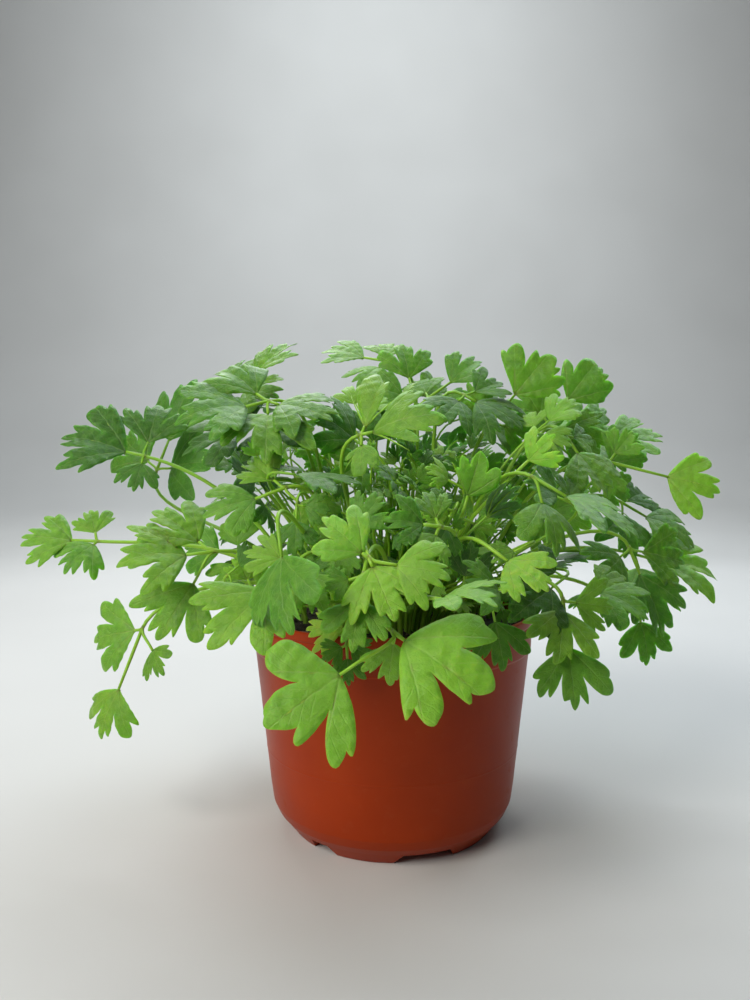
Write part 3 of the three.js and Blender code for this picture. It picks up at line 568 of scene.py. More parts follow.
def make_template(seed, spacing, own_margin=None):
    """A blade with a margin of its own or a drawn one, filled with a loose grid of points."""
    rng = np.random.default_rng(seed)
    if own_margin:
        keys = [(B, np.zeros(2))]
        keys += [(kind, polar(angle, reach)) for kind, angle, reach in own_margin]
    else:
        keys = margin_keys(rng)
    margin = margin_points(keys, MARGIN_SPACING * spacing)
    rows = np.arange(-1.05, 1.05, spacing * math.sqrt(3) / 2)
    grid = [(x + (i % 2) * spacing / 2, y)
            for i, y in enumerate(rows) for x in np.arange(-0.05, 1.1, spacing)]
    grid = np.array(grid) + rng.uniform(-GRID_SWING, GRID_SWING, (len(grid), 2)) * spacing
    grid = grid[inside_margin(grid, margin)]
    grid = grid[distances_to_margin(grid, margin) > 0.5 * spacing]
    corners = [Vector(point) for point in np.concatenate([margin, grid])]
    rim = list(range(len(margin)))
    found = delaunay_2d_cdt(corners, [], [rim], 1, 1e-6)
    points = np.array([tuple(point) for point in found[0]])
    triangles = np.array([face for face in found[2] if len(face) == 3])
    a, b, c = (points[triangles[:, k]] for k in range(3))
    turn = (b - a)[:, 0] * (c - a)[:, 1] - (b - a)[:, 1] * (c - a)[:, 0]
    triangles[turn < 0] = triangles[turn < 0][:, ::-1]
    edge = distances_to_margin(points, margin)
    return Template(points, edge, triangles, rim_of(triangles))


def rim_of(triangles):
    """The directed edges that belong to one triangle only, as an n x 2 array."""
    edges = np.concatenate([triangles[:, [0, 1]], triangles[:, [1, 2]], triangles[:, [2, 0]]])
    known = {tuple(edge) for edge in edges}
    return np.array([edge for edge in edges if (edge[1], edge[0]) not in known])


# ---- Meshes ----

class Mesher:
    """Collects the parts of one piece: places, triangles, materials and shading values."""

    def __init__(self):
        self.places, self.triangles, self.materials, self.leaf, self.look = [], [], [], [], []
        self.count = 0

    def add(self, places, triangles, material, leaf, look):
        self.places.append(places)
        self.triangles.append(triangles + self.count)
        self.materials.append(np.full(len(triangles), material))
        self.leaf.append(leaf)
        self.look.append(np.broadcast_to(look, (len(places), 3)))
        self.count += len(places)

    def piece(self, name, materials):
        """An object with all that was added."""
        mesh = bpy.data.meshes.new(name)
        places = np.concatenate(self.places) * MM
        triangles = np.concatenate(self.triangles)
        mesh.vertices.add(len(places))
        mesh.vertices.foreach_set("co", places.astype(np.float32).ravel())
        mesh.loops.add(triangles.size)
        mesh.loops.foreach_set("vertex_index", triangles.astype(np.int32).ravel())
        mesh.polygons.add(len(triangles))
        mesh.polygons.foreach_set("loop_start", np.arange(0, triangles.size, 3, dtype=np.int32))
        mesh.polygons.foreach_set("loop_total", np.full(len(triangles), 3, np.int32))
        mesh.polygons.foreach_set("material_index", np.concatenate(self.materials).astype(np.int32))
        for values, attribute in ((self.leaf, "leaf"), (self.look, "look")):
            layer = mesh.attributes.new(attribute, "FLOAT_VECTOR", "POINT")
            layer.data.foreach_set("vector", np.concatenate(values).astype(np.float32).ravel())
        mesh.update(calc_edges=True)
        mesh.validate()
        mesh.shade_smooth()
        for material in materials:
            mesh.materials.append(material)
        return linked(name, mesh)


def linked(name, data):
    """A new object of the scene."""
    piece = bpy.data.objects.new(name, data)
    bpy.context.scene.collection.objects.link(piece)
    return piece


def built(name, builder):
    """A new object with what a bmesh has collected."""
    mesh = bpy.data.meshes.new(name)
    builder.to_mesh(mesh)
    builder.free()
    return linked(name, mesh)


def strip(first, around, rising=False):
    """Triangles between a ring of points and the next ring. They look outwards where the next
    ring is wider or lower, and with rising where it is higher."""
    triangles = []
    for k in range(around):
        a, b = first + k, first + (k + 1) % around
        if rising:
            triangles += [(a, b, b + around), (a, b + around, a + around)]
        else:
            triangles += [(a, a + around, b + around), (a, b + around, b)]
    return triangles


def tube(mesher, points, radii, sides, look, material=1):
    """A round closed tube along points."""
    points = [Vector(point) for point in points]
    radii = [float(radius) for radius in radii]
    count = len(points)
    places = []
    side, after = None, None
    for i, point in enumerate(points):
        along = (points[min(i + 1, count - 1)] - points[max(i - 1, 0)]).normalized()
        if side is None:
            side = along.orthogonal().normalized()
        else:
            side = (after.rotation_difference(along) @ side).normalized()
        after = along
        other = along.cross(side)
        for k in range(sides):
            angle = 2 * math.pi * k / sides
            places.append(point + radii[i] * (math.cos(angle) * side + math.sin(angle) * other))
    places += [points[0], points[-1]]
    triangles = []
    for i in range(count - 1):
        triangles += strip(i * sides, sides, rising=True)
    first, last = count * sides, count * sides + 1
    for k in range(sides):
        after_k = (k + 1) % sides
        triangles += [(first, after_k, k),
                      (last, (count - 1) * sides + k, (count - 1) * sides + after_k)]
    places = np.array([tuple(place) for place in places])
    along = np.repeat(np.linspace(0, 1, count), sides).tolist() + [0, 1]
    leaf = np.stack([np.zeros(len(places)), np.zeros(len(places)), along], axis=1)
    mesher.add(places, np.array(triangles), material, leaf, look)


# ---- A leaflet ----

# Waves of a blade, in leaflet lengths, and the ranges of what each blade has of its own.
FOLD_SOFTNESS = 0.03
QUILT = {"along": 34, "across": 9, "start": 3}
CHANNEL = {"depth": 0.012, "width": 0.03, "end": 1.1}
LOBE_FOLD = {"start": 0.08, "centre": 0.4}
DROOP_START = 0.5
TWIST_START = 0.3
HABIT_RANGES = {
    "ripple": (0.012, 0.04), "waves": (4, 8), "phase": (0, 6.28), "quilt": (0.004, 0.008),
    "lobe_fold": (-0.02, 0.07), "droop": (0, 0.25), "twist": (-0.12, 0.12),
}
RIBS = {"centre": 0.86, "side": 0.72, "side_share": 0.75, "full_length": 24, "end": 0.07}


def blade_surface(leaf, x, y, habit):
    """Middle places of the blade at template points x, y, and the way that its upper face
    looks there. habit holds the small waves that this blade has of its own."""
    reaches, curl = leaf.variation["reaches"], leaf.variation["curl"]
    half = [angle for angle, _ in HALF_OUTLINE]
    angles = [-180] + [-angle for angle in reversed(half)] + [0] + half + [180]
    left, right = reaches[:len(half)], reaches[len(half):]
    scales = [left[-1]] + left[::-1] + [1] + right + [right[-1]]
    polar_angle = np.degrees(np.arctan2(y, x))
    scale = np.interp(polar_angle, angles, scales)
    x, y = x * scale, y * scale
    reach = np.hypot(x, y)
    bend = curl * (x - 0.5)
    forth = (np.sin(bend) + math.sin(curl / 2)) / curl
    beside = np.sqrt(y * y + FOLD_SOFTNESS ** 2) - FOLD_SOFTNESS
    rise = ((np.cos(bend) - math.cos(curl / 2)) / curl
            + leaf.variation["fold"] * beside - leaf.variation["cup"] * y * y)
    lobe = np.clip(np.round(polar_angle / VEIN_FAN), -1, 1)
    off_vein = reach * np.sin(np.radians(polar_angle - lobe * VEIN_FAN))
    ripple = habit["ripple"] * reach ** 2 * np.sin(
        np.radians(polar_angle) * habit["waves"] + habit["phase"])
    quilt = habit["quilt"] * np.clip(reach * QUILT["start"], 0, 1) * np.sin(
        reach * QUILT["along"] + QUILT["across"] * np.abs(off_vein) + habit["phase"])
    channel = -CHANNEL["depth"] * np.exp(-(off_vein / CHANNEL["width"]) ** 2) * np.clip(
        CHANNEL["end"] - reach, 0, 1)
    lobe_fold = habit["lobe_fold"] * (np.abs(off_vein) - LOBE_FOLD["start"]) * (
        np.abs(lobe) + LOBE_FOLD["centre"])
    droop = -habit["droop"] * np.clip(reach - DROOP_START, 0, None) ** 2
    twist = habit["twist"] * y * (x - TWIST_START)
    rise = rise + ripple + quilt + channel + lobe_fold + droop + twist
    forward, side = np.array(leaf.forward), np.array(leaf.side)
    normal = np.cross(forward, side)
    middle = np.array(leaf.origin) + leaf.length * (
        forth[:, None] * forward + y[:, None] * side + rise[:, None] * normal)
    upper = np.sin(bend)[:, None] * forward + np.cos(bend)[:, None] * normal
    return middle, upper


def habit_of(rng):
    return {name: rng.uniform(*limits) for name, limits in HABIT_RANGES.items()}


def blade(mesher, leaf, template, habit, tone, seed):
    """A leaflet's blade: two faces and the margin between them, which is thinner."""
    x, y = template.points.T
    middle, upper = blade_surface(leaf, x, y, habit)
    thin = np.clip(template.edge / RIM_THINNING["width"], 0, 1)
    half = BLADE_THICKNESS / 2 * (1 - RIM_THINNING["share"] * (1 - thin))
    count = len(x)
    places = np.concatenate([middle + upper * half[:, None], middle - upper * half[:, None]])
    top = template.triangles
    start, end = template.rim.T
    skirt = np.concatenate([
        np.stack([start + count, end + count, end], axis=1),
        np.stack([start + count, end, start], axis=1),
    ])
    triangles = np.concatenate([top, top[:, ::-1] + count, skirt])
    values = np.column_stack([x, y, template.edge])
    look = np.zeros((2 * count, 3))
    look[:, 0], look[count:, 1], look[:, 2] = tone, 1, seed
    mesher.add(places, triangles, 0, np.concatenate([values, values]), look)


def ribs(mesher, leaf, habit, tone, seed, steps):
    """The three main veins, which stand out under the blade."""
    for angle in (0, VEIN_FAN, -VEIN_FAN):
        length = RIBS["side"] if angle else RIBS["centre"]
        reach = np.linspace(0, length, steps)
        x, y = polar(angle, reach)
        middle, upper = blade_surface(leaf, x, y, habit)
        widest = (RIBS["side_share"] if angle else 1) * STALK_RADII[1]
        widest *= min(1, leaf.length / RIBS["full_length"])
        radii = widest * (1 - reach / length) ** 0.8 + RIBS["end"]
        tube(mesher, middle - upper * (radii[:, None] * 0.8), radii, 5, (tone, 1, seed))


def leaflet(mesher, leaf, rng, templates, tone, ribbed=True):
    habit = habit_of(rng)
    seed = rng.uniform(0, 1)
    own_tone = float(np.clip(tone + rng.normal(0, 0.035), 0, 1))
    template = templates[rng.integers(len(templates))]
    blade(mesher, leaf, template, habit, own_tone, seed)
    if ribbed:
        ribs(mesher, leaf, habit, own_tone, seed, 7)


def frond_into(mesher, frond, draw, rng, templates, ribbed=True, thin=1.0, own=()):
    """Adds a frond: its stem out of the soil, its end leaflet and its side leaflets. own has
    the templates of the first leaflets, if they aren't picked from templates."""
    cuts = [[template] for template in own] + [templates] * 5
    forward, side, normal = axes_of(frond)
    base = Vector(frond["base"])
    hub = base - forward * frond["stalk"]
    root = root_of(hub, frond["shift"])
    tone = frond["tone"]
    look = (tone, 0, rng.uniform(0, 1))
    curve = stem_curve(root, hub, forward, STEM_STEPS)
    radii = [thin * lerp(*STEM_RADII, i / (len(curve) - 1)) for i in range(len(curve))]
    on = [hub + forward * (frond["stalk"] * share) for share in (0.5, 1)]
    tube(mesher, curve + on, radii + [thin * value for value in STALK_RADII], STEM_SIDES, look)
    leaf = Leaflet(base, forward, side, frond["length"], variation_of(draw))
    leaflet(mesher, leaf, rng, cuts[0], tone, ribbed)
    for number, (turn, lift, stalk, size) in enumerate(sides_of(frond, draw), 1):
        way = turned(forward, normal, turn)
        way = turned(way, way.cross(normal), lift)
        origin = hub + way * stalk
        bow = bezier(hub - forward * SIDE_ROOT, hub + forward * (0.2 * stalk),
                     origin - way * (0.5 * stalk), origin, SIDE_STEPS)
        slim = [thin * lerp(*STALK_RADII, i / SIDE_STEPS) for i in range(SIDE_STEPS + 1)]
        tube(mesher, bow, slim, STEM_SIDES - 2, look)
        side_leaf = Leaflet(
            origin, way, side_of(way, normal), frond["length"] * size, variation_of(draw))
        leaflet(mesher, side_leaf, rng, cuts[number], tone, ribbed)


# ---- Materials ----

class Shading:
    """A material under construction, with short ways to add nodes to it. A value is a number, a
    colour or another node's output."""

    def __init__(self, name):
        self.material = bpy.data.materials.new(name)
        self.material.use_nodes = True
        self.tree = self.material.node_tree

    def feed(self, value, socket):
        if hasattr(value, "is_linked"):
            self.tree.links.new(value, socket)
        else:
            socket.default_value = value

    def node(self, kind, inputs, output=0, **settings):
        """Adds a node, sets it and feeds its inputs. Returns one of its outputs."""
        node = self.tree.nodes.new("ShaderNode" + kind)
        for name, value in settings.items():
            setattr(node, name, value)
        for socket, value in inputs.items():
            self.feed(value, node.inputs[socket])
        return node.outputs[output]

    def math(self, operation, *values, clamp=False):
        return self.node("Math", dict(enumerate(values)), operation=operation, use_clamp=clamp)

    def plus(self, first, second):
        return self.math("ADD", first, second)

    def times(self, first, second):
        return self.math("MULTIPLY", first, second)

    def scaled(self, value, factor, added, clamp=False):
        return self.math("MULTIPLY_ADD", value, factor, added, clamp=clamp)

    def swing(self, value, most):
        """A value from 0 to 1 as a swing to both sides of 0."""
        return self.scaled(value, most, -most / 2)

    def larger(self, first, second):
        return self.math("MAXIMUM", first, second)

    def size_of(self, value):
        return self.math("ABSOLUTE", value)

    def near_line(self, distance, width):
        """1 on a line and 0 further from it than width."""
        return self.math("SUBTRACT", 1.0, self.math("DIVIDE", distance, width), clamp=True)

    def ramp(self, factor, stops):
        node = self.tree.nodes.new("ShaderNodeValToRGB")
        elements = node.color_ramp.elements
        while len(elements) < len(stops):
            elements.new(0.5)
        for element, (place, colour) in zip(elements, stops):
            element.position = place
            element.color = (*colour, 1)
        self.feed(factor, node.inputs[0])
        return node.outputs[0]

    def mixed(self, factor, first, second, mode="MIX"):
        node = self.tree.nodes.new("ShaderNodeMix")
        node.data_type, node.blend_type = "RGBA", mode
        self.feed(factor, node.inputs["Factor"])
        for value, name in ((first, "A"), (second, "B")):
            socket = [s for s in node.inputs if s.name == name and s.type == "RGBA"][0]
            self.feed((*value, 1) if isinstance(value, tuple) else value, socket)
        return [s for s in node.outputs if s.type == "RGBA"][0]

    def tinted(self, colour, tint):
        return self.mixed(1.0, colour, tint, "MULTIPLY")

    def place(self):
        return self.node("TexCoord", {}, "Object")

    def noise(self, scale, detail, roughness=0.55):
        inputs = {"Scale": scale, "Detail": detail, "Roughness": roughness}
        return self.node("TexNoise", {**inputs, "Vector": self.place()}, "Fac")

    def parts_of(self, vector):
        node = self.tree.nodes.new("ShaderNodeSeparateXYZ")
        self.feed(vector, node.inputs[0])
        return node.outputs

    def attribute(self, name):
        return self.node("Attribute", {}, "Vector", attribute_name=name)

    def bump(self, height, strength, distance):
        return self.node("Bump", {
            "Height": height, "Strength": strength, "Distance": distance}, "Normal")

    def finish(self, inputs):
        """Feeds the material's shader. Returns the material."""
        shader = self.tree.nodes["Principled BSDF"]
        for name, value in inputs.items():
            self.feed(value, shader.inputs[name])
        return self.material


# Veins, in template coordinates and in steps of the fan for angles.
VEIN_WANDER = {"scale": 5, "most": 0.05}
VEIN_WIDTH = {"base": 0.021, "narrowing": -0.012}
SIDE_VEINS = {"apart": 0.15, "slant": -1.15, "width": 0.1, "fade": 3.0, "fade_start": -0.5}
VEIN_NET = {"scale": 17, "width": 0.09, "depth": 0.12}
VEIN_SHADES = {"main": 0.44, "side": 0.2, "net": 0.14}
LEAF_TONES = [
    (0.0, (0.014, 0.046, 0.002)), (0.3, (0.042, 0.128, 0.005)), (0.5, (0.088, 0.228, 0.011)),
    (0.7, (0.205, 0.380, 0.026)), (0.85, (0.275, 0.500, 0.036)), (1.0, (0.46, 0.56, 0.04)),
]
MOTTLING = {"fine": 0.3, "coarse": 0.16}
COOL_TINT = (0.88, 0.98, 1.4)
LIGHTER_TINT = (1.4, 1.3, 1.4)
VEIN_COLOUR = (0.36, 0.52, 0.15)
UNDERSIDE_COLOUR = (0.19, 0.31, 0.12)
MARGIN_LINE = 0.025
STALK_TONES = [
    (0.0, (0.13, 0.29, 0.02)), (0.45, (0.24, 0.47, 0.035)), (0.75, (0.34, 0.58, 0.05)),
    (1.0, (0.46, 0.66, 0.08)),
]
STALK_FOOT = {"reach": 0.22, "share": 0.25, "colour": (0.40, 0.52, 0.16)}
POT_TONES = [(0.25, (0.285, 0.027, 0.002)), (0.75, (0.36, 0.038, 0.003))]
SCUFF_COLOUR = (0.5, 0.2, 0.1)
SCUFF_EDGES = [(0.56, (0, 0, 0)), (0.72, (1, 1, 1))]
SPECK_COLOUR = (0.05, 0.02, 0.012)
SOIL_TONES = [
    (0.3, (0.010, 0.007, 0.005)), (0.55, (0.035, 0.023, 0.015)), (0.75, (0.09, 0.062, 0.042)),
]
CRUMB_TONES = [
    (0.0, (0.02, 0.014, 0.01)), (0.6, (0.06, 0.042, 0.028)), (0.85, (0.19, 0.15, 0.11)),
    (1.0, (0.42, 0.4, 0.36)),
]


def vein_pattern(leaf, place):
    """Main veins and side veins, each from 0 to 1."""
    wander = leaf.node("TexNoise", {"Scale": VEIN_WANDER["scale"], "Vector": place}, "Fac")
    shift = leaf.swing(wander, VEIN_WANDER["most"])
    x, y = (leaf.plus(part, shift) for part in leaf.parts_of(place)[:2])
    fan = math.radians(VEIN_FAN)
    angle = leaf.size_of(leaf.math("DIVIDE", leaf.math("ARCTAN2", y, x), fan))
    lobe = leaf.math("MINIMUM", leaf.math("ROUND", angle), 1.0)
    off = leaf.size_of(leaf.times(leaf.math("SUBTRACT", angle, lobe), fan))
    reach = leaf.math("SQRT", leaf.plus(leaf.times(x, x), leaf.times(y, y)))
    aside = leaf.times(reach, leaf.math("SINE", off))
    ahead = leaf.times(reach, leaf.math("COSINE", off))
    width = leaf.scaled(reach, VEIN_WIDTH["narrowing"], VEIN_WIDTH["base"])
    main = leaf.near_line(aside, width)
    step = leaf.math("DIVIDE", leaf.scaled(aside, SIDE_VEINS["slant"], ahead), SIDE_VEINS["apart"])
    across = leaf.size_of(leaf.math("SUBTRACT", leaf.math("FRACT", step), 0.5))
    side = leaf.near_line(leaf.math("SUBTRACT", 0.5, across), SIDE_VEINS["width"])
    fade = leaf.scaled(reach, SIDE_VEINS["fade"], SIDE_VEINS["fade_start"], clamp=True)
    return main, leaf.times(side, fade)


def leaf_material(name, warmth):
    """Leaf of one slot. warmth moves its tone along the ramp."""
    leaf = Shading(name)
    place = leaf.attribute("leaf")
    to_margin = leaf.parts_of(place)[2]
    own_tone, underside, own_hue = leaf.parts_of(leaf.attribute("look"))
    main, side = vein_pattern(leaf, place)
    blotch = leaf.noise(scale=330, detail=5)
    tone = leaf.scaled(blotch, MOTTLING["fine"], warmth - MOTTLING["fine"] / 2)
    tone = leaf.plus(tone, own_tone)
    tone = leaf.plus(tone, leaf.swing(leaf.noise(scale=60, detail=2), MOTTLING["coarse"]))
    colour = leaf.ramp(tone, LEAF_TONES)
    # Each blade has its own hue, from yellow-green to blue-green.
    colour = leaf.mixed(own_hue, colour, leaf.tinted(colour, COOL_TINT))
    # Veins and a thin line along the margin are a little lighter than the blade.
    lighter = leaf.tinted(colour, LIGHTER_TINT)
    to_net = leaf.node("TexVoronoi", {"Scale": VEIN_NET["scale"], "Vector": place}, "Distance",
                       feature="DISTANCE_TO_EDGE")
    net = leaf.near_line(to_net, VEIN_NET["width"])
    veins = leaf.larger(
        leaf.times(main, VEIN_SHADES["main"]), leaf.times(side, VEIN_SHADES["side"]))
    veins = leaf.larger(veins, leaf.times(net, VEIN_SHADES["net"]))
    colour = leaf.mixed(veins, colour, leaf.mixed(0.5, lighter, VEIN_COLOUR))
    rim = leaf.near_line(to_margin, MARGIN_LINE)
    colour = leaf.mixed(leaf.times(rim, 0.2), colour, lighter)
    under = leaf.mixed(0.5, colour, UNDERSIDE_COLOUR)
    colour = leaf.mixed(leaf.times(underside, 0.7), colour, under)
    # The blade swells between its veins and has a fine rough skin.
    sunk = leaf.times(leaf.larger(main, leaf.times(side, 0.6)), -0.6)
    height = leaf.scaled(leaf.math("MINIMUM", to_net, VEIN_NET["depth"]), 1.2, sunk)
    height = leaf.plus(height, leaf.times(blotch, 2.2))
    return leaf.finish({
        "Base Color": colour,
        "Normal": leaf.bump(height, 0.6, 0.0004),
        "Roughness": leaf.plus(leaf.scaled(blotch, 0.4, 0.28), leaf.times(underside, 0.12)),
        "Subsurface Weight": 1.0,
        "Subsurface Radius": (0.6, 1.0, 0.25),
        "Subsurface Scale": 0.0006,
        "Specular IOR Level": 0.28,
        "Sheen Weight": 0.05,
        "Sheen Tint": (0.85, 0.92, 1.0, 1),
    })


def stalk_material():
    """Stalks with a fine rough skin, paler at the foot."""
    stalk = Shading("stalk")
    along = stalk.parts_of(stalk.attribute("leaf"))[2]
    own_tone = stalk.parts_of(stalk.attribute("look"))[0]
    tone = stalk.swing(stalk.noise(scale=90, detail=4), 0.5)
    tone = stalk.plus(tone, stalk.scaled(own_tone, 0.6, 0.2))
    colour = stalk.ramp(tone, STALK_TONES)
    foot = stalk.times(stalk.near_line(along, STALK_FOOT["reach"]), STALK_FOOT["share"])
    return stalk.finish({
        "Base Color": stalk.mixed(foot, colour, STALK_FOOT["colour"]),
        "Normal": stalk.bump(stalk.noise(scale=900, detail=2), 0.25, 0.0002),
        "Roughness": 0.38,
        "Specular IOR Level": 0.3,
        "Subsurface Weight": 0.8,
        "Subsurface Radius": (0.7, 1.0, 0.2),
        "Subsurface Scale": 0.001,
    })


def pot_material():
    """Satin moulded plastic with fine scuffs and a few dark specks."""
    pot = Shading("pot_plastic")
    cloud = pot.noise(scale=28, detail=4)
    scuff = pot.ramp(pot.noise(scale=160, detail=6, roughness=0.7), SCUFF_EDGES)
    colour = pot.mixed(pot.times(scuff, 0.05), pot.ramp(cloud, POT_TONES), SCUFF_COLOUR)
    to_speck = pot.node("TexVoronoi", {"Scale": 130, "Vector": pot.place()}, "Distance")
    rare = pot.math("GREATER_THAN", pot.noise(scale=60, detail=1), 0.63)
    speck = pot.times(pot.near_line(to_speck, 0.07), rare)
    speck = pot.math("MULTIPLY", speck, 4.0, clamp=True)
    roughness = pot.scaled(cloud, 0.14, 0.32)
    height = pot.scaled(pot.noise(scale=1400, detail=2), 0.4, cloud)
    return pot.finish({
        "Base Color": pot.mixed(pot.times(speck, 0.8), colour, SPECK_COLOUR),
        "Roughness": pot.scaled(scuff, 0.16, roughness),
        "Specular IOR Level": 0.15,
        "Normal": pot.bump(height, 0.12, 0.0003),
        "Subsurface Weight": 0.12,
        "Subsurface Radius": (1.0, 0.3, 0.1),
        "Subsurface Scale": 0.0015,
    })


def soil_material():
    """Dark damp potting mix with lighter crumbs."""
    soil = Shading("soil")
    paleness, crumb_share = soil.parts_of(soil.attribute("look"))[:2]
    colour = soil.ramp(soil.noise(scale=240, detail=6), SOIL_TONES)
    return soil.finish({
        "Base Color": soil.mixed(crumb_share, colour, soil.ramp(paleness, CRUMB_TONES)),
        "Normal": soil.bump(soil.noise(scale=700, detail=5), 0.8, 0.0008),
        "Roughness": 0.86,
    })


# ---- Pot ----

def rounded_profile(profile, fillet, steps=4):
    """The profile with each inner corner turned into a short arc."""
    points = [Vector(point) for point in profile]
    result = [points[0]]
    for before, corner, after in zip(points, points[1:], points[2:]):
        back, on = before - corner, after - corner
        cut = min(fillet, 0.42 * back.length, 0.42 * on.length)
        start, end = corner + back.normalized() * cut, corner + on.normalized() * cut
        for i in range(steps + 1):
            t = i / steps
            result.append(start * (1 - t) ** 2 + corner * (2 * t * (1 - t)) + end * t * t)
    return result + [points[-1]]


def lathe(name, profile, segments):
    """A closed solid of revolution. The profile starts and ends on the axis."""
    rings = profile[1:-1]
    builder = bmesh.new()
    poles = [builder.verts.new((0, 0, point.y * MM)) for point in (profile[0], profile[-1])]
    grid = []
    for radius, height in rings:
        grid.append([
            builder.verts.new((radius * MM * math.cos(2 * math.pi * k / segments),
                               radius * MM * math.sin(2 * math.pi * k / segments), height * MM))
            for k in range(segments)])
    for k in range(segments):
        n = (k + 1) % segments
        builder.faces.new((poles[0], grid[0][n], grid[0][k]))
        builder.faces.new((poles[1], grid[-1][k], grid[-1][n]))
        for low, high in zip(grid, grid[1:]):
            builder.faces.new((low[k], low[n], high[n], high[k]))
    return built(name, builder)


def body_radius_at(height):
    share = (height - CORNER_HEIGHT) / (POT_HEIGHT - COLLAR_DEPTH - CORNER_HEIGHT)
    return lerp(BODY_FOOT_RADIUS, BODY_TOP_RADIUS, share)


def pot_profile():
    """Half of the pot's section, as radii and heights: from the middle of its underside, round
    the outside and the rim, to the middle of its floor."""
    step = POT_HEIGHT - COLLAR_DEPTH
    lip = POT_HEIGHT - LIP_HEIGHT
    floor = FOOT_HEIGHT + FLOOR_THICKNESS
    collar = BODY_TOP_RADIUS + COLLAR_STEP
    seam = SEAM["height"]
    return [
        (0, FOOT_HEIGHT), (FOOT_RADIUS - FOOT_WIDTH, FOOT_HEIGHT), (FOOT_RADIUS - FOOT_WIDTH, 0),
        (FOOT_RADIUS, 0), (47, FOOT_HEIGHT), (49.6, 8), (51.4, 12),
        (BODY_FOOT_RADIUS, CORNER_HEIGHT),
        (body_radius_at(seam - 0.5), seam - 0.5),
        (body_radius_at(seam) + SEAM["depth"], seam),
        (body_radius_at(seam + 0.5), seam + 0.5),
        (BODY_TOP_RADIUS, step), (collar, step + COLLAR_STEP),
        (RIM_RADIUS - 0.3, lip - GROOVE), (RIM_RADIUS - GROOVE, lip), (RIM_RADIUS, lip + GROOVE),
        (RIM_RADIUS, POT_HEIGHT - 0.5), (RIM_RADIUS - 0.5, POT_HEIGHT),
        (RIM_RADIUS - WALL, POT_HEIGHT), (collar - WALL, step + 2),
        (body_radius_at(step - 2) - WALL, step - 2), (BODY_FOOT_RADIUS - WALL, CORNER_HEIGHT),
        (49.6, 12.5), (47, floor + 1.2), (43.5, floor), (0, floor),
    ]


def pot_cutters():
    """Gaps between the feet, each a trapezium as seen from outside, and the drain holes."""
    builder = bmesh.new()
    roof = FOOT_HEIGHT - GAP_CUT["under_floor"]
    near = FOOT_RADIUS - FOOT_WIDTH - GAP_CUT["inside"]
    for gap in FOOT_GAPS:
        outline = [(-gap["bottom"] / 2, -1), (gap["bottom"] / 2, -1), (gap["bottom"] / 2, 0),
                   (gap["top"] / 2, roof), (-gap["top"] / 2, roof), (-gap["bottom"] / 2, 0)]
        for i in range(FOOT_REPEATS):
            turn = Matrix.Rotation(math.radians(gap["centre"] + 360 * i / FOOT_REPEATS), 4, "Z")
            ends = [[builder.verts.new(turn @ Vector((radius, y, z)) * MM) for y, z in outline]
                    for radius in (near, near + GAP_CUT["depth"])]
            builder.faces.new(ends[0][::-1])
            builder.faces.new(ends[1])
            for k in range(len(outline)):
                n = (k + 1) % len(outline)
                builder.faces.new((ends[0][k], ends[0][n], ends[1][n], ends[1][k]))
    for i in range(DRAIN_HOLES):
        turn = Matrix.Rotation(2 * math.pi * i / DRAIN_HOLES, 4, "Z")
        centre = turn @ Vector((DRAIN_CIRCLE, 0, FOOT_HEIGHT + FLOOR_THICKNESS / 2)) * MM
        bmesh.ops.create_cone(
            builder, cap_ends=True, segments=32, radius1=DRAIN_RADIUS * MM,
            radius2=DRAIN_RADIUS * MM, depth=4 * FLOOR_THICKNESS * MM,
            matrix=Matrix.Translation(centre))
    bmesh.ops.recalc_face_normals(builder, faces=builder.faces)
    return built("pot_cutters", builder)


def keep_modified(piece):
    """Turns the piece's modifiers into its mesh."""
    graph = bpy.context.evaluated_depsgraph_get()
    mesh = bpy.data.meshes.new_from_object(piece.evaluated_get(graph))
    piece.modifiers.clear()
    piece.data = mesh


def make_pot():
    piece = lathe("pot_shell", rounded_profile(pot_profile(), 0.5), POT_SEGMENTS)
    cutters = pot_cutters()
    cut = piece.modifiers.new("cut", "BOOLEAN")
    cut.object, cut.operation, cut.solver = cutters, "DIFFERENCE", "EXACT"
    keep_modified(piece)
    bpy.data.objects.remove(cutters)
    piece.data.shade_smooth()
    piece.data.set_sharp_from_angle(angle=math.radians(32))
    piece.data.materials.clear()
    piece.data.materials.append(pot_material())
    return settle(piece, "pot_plastic", "pot")


# ---- Soil ----

def soil_height(x, y, waves):
    height = np.full_like(x, float(SOIL_LEVEL))
    for wave_x, wave_y, phase, size in waves:
        height = height + size * np.sin(wave_x * x + wave_y * y + phase)
    return height


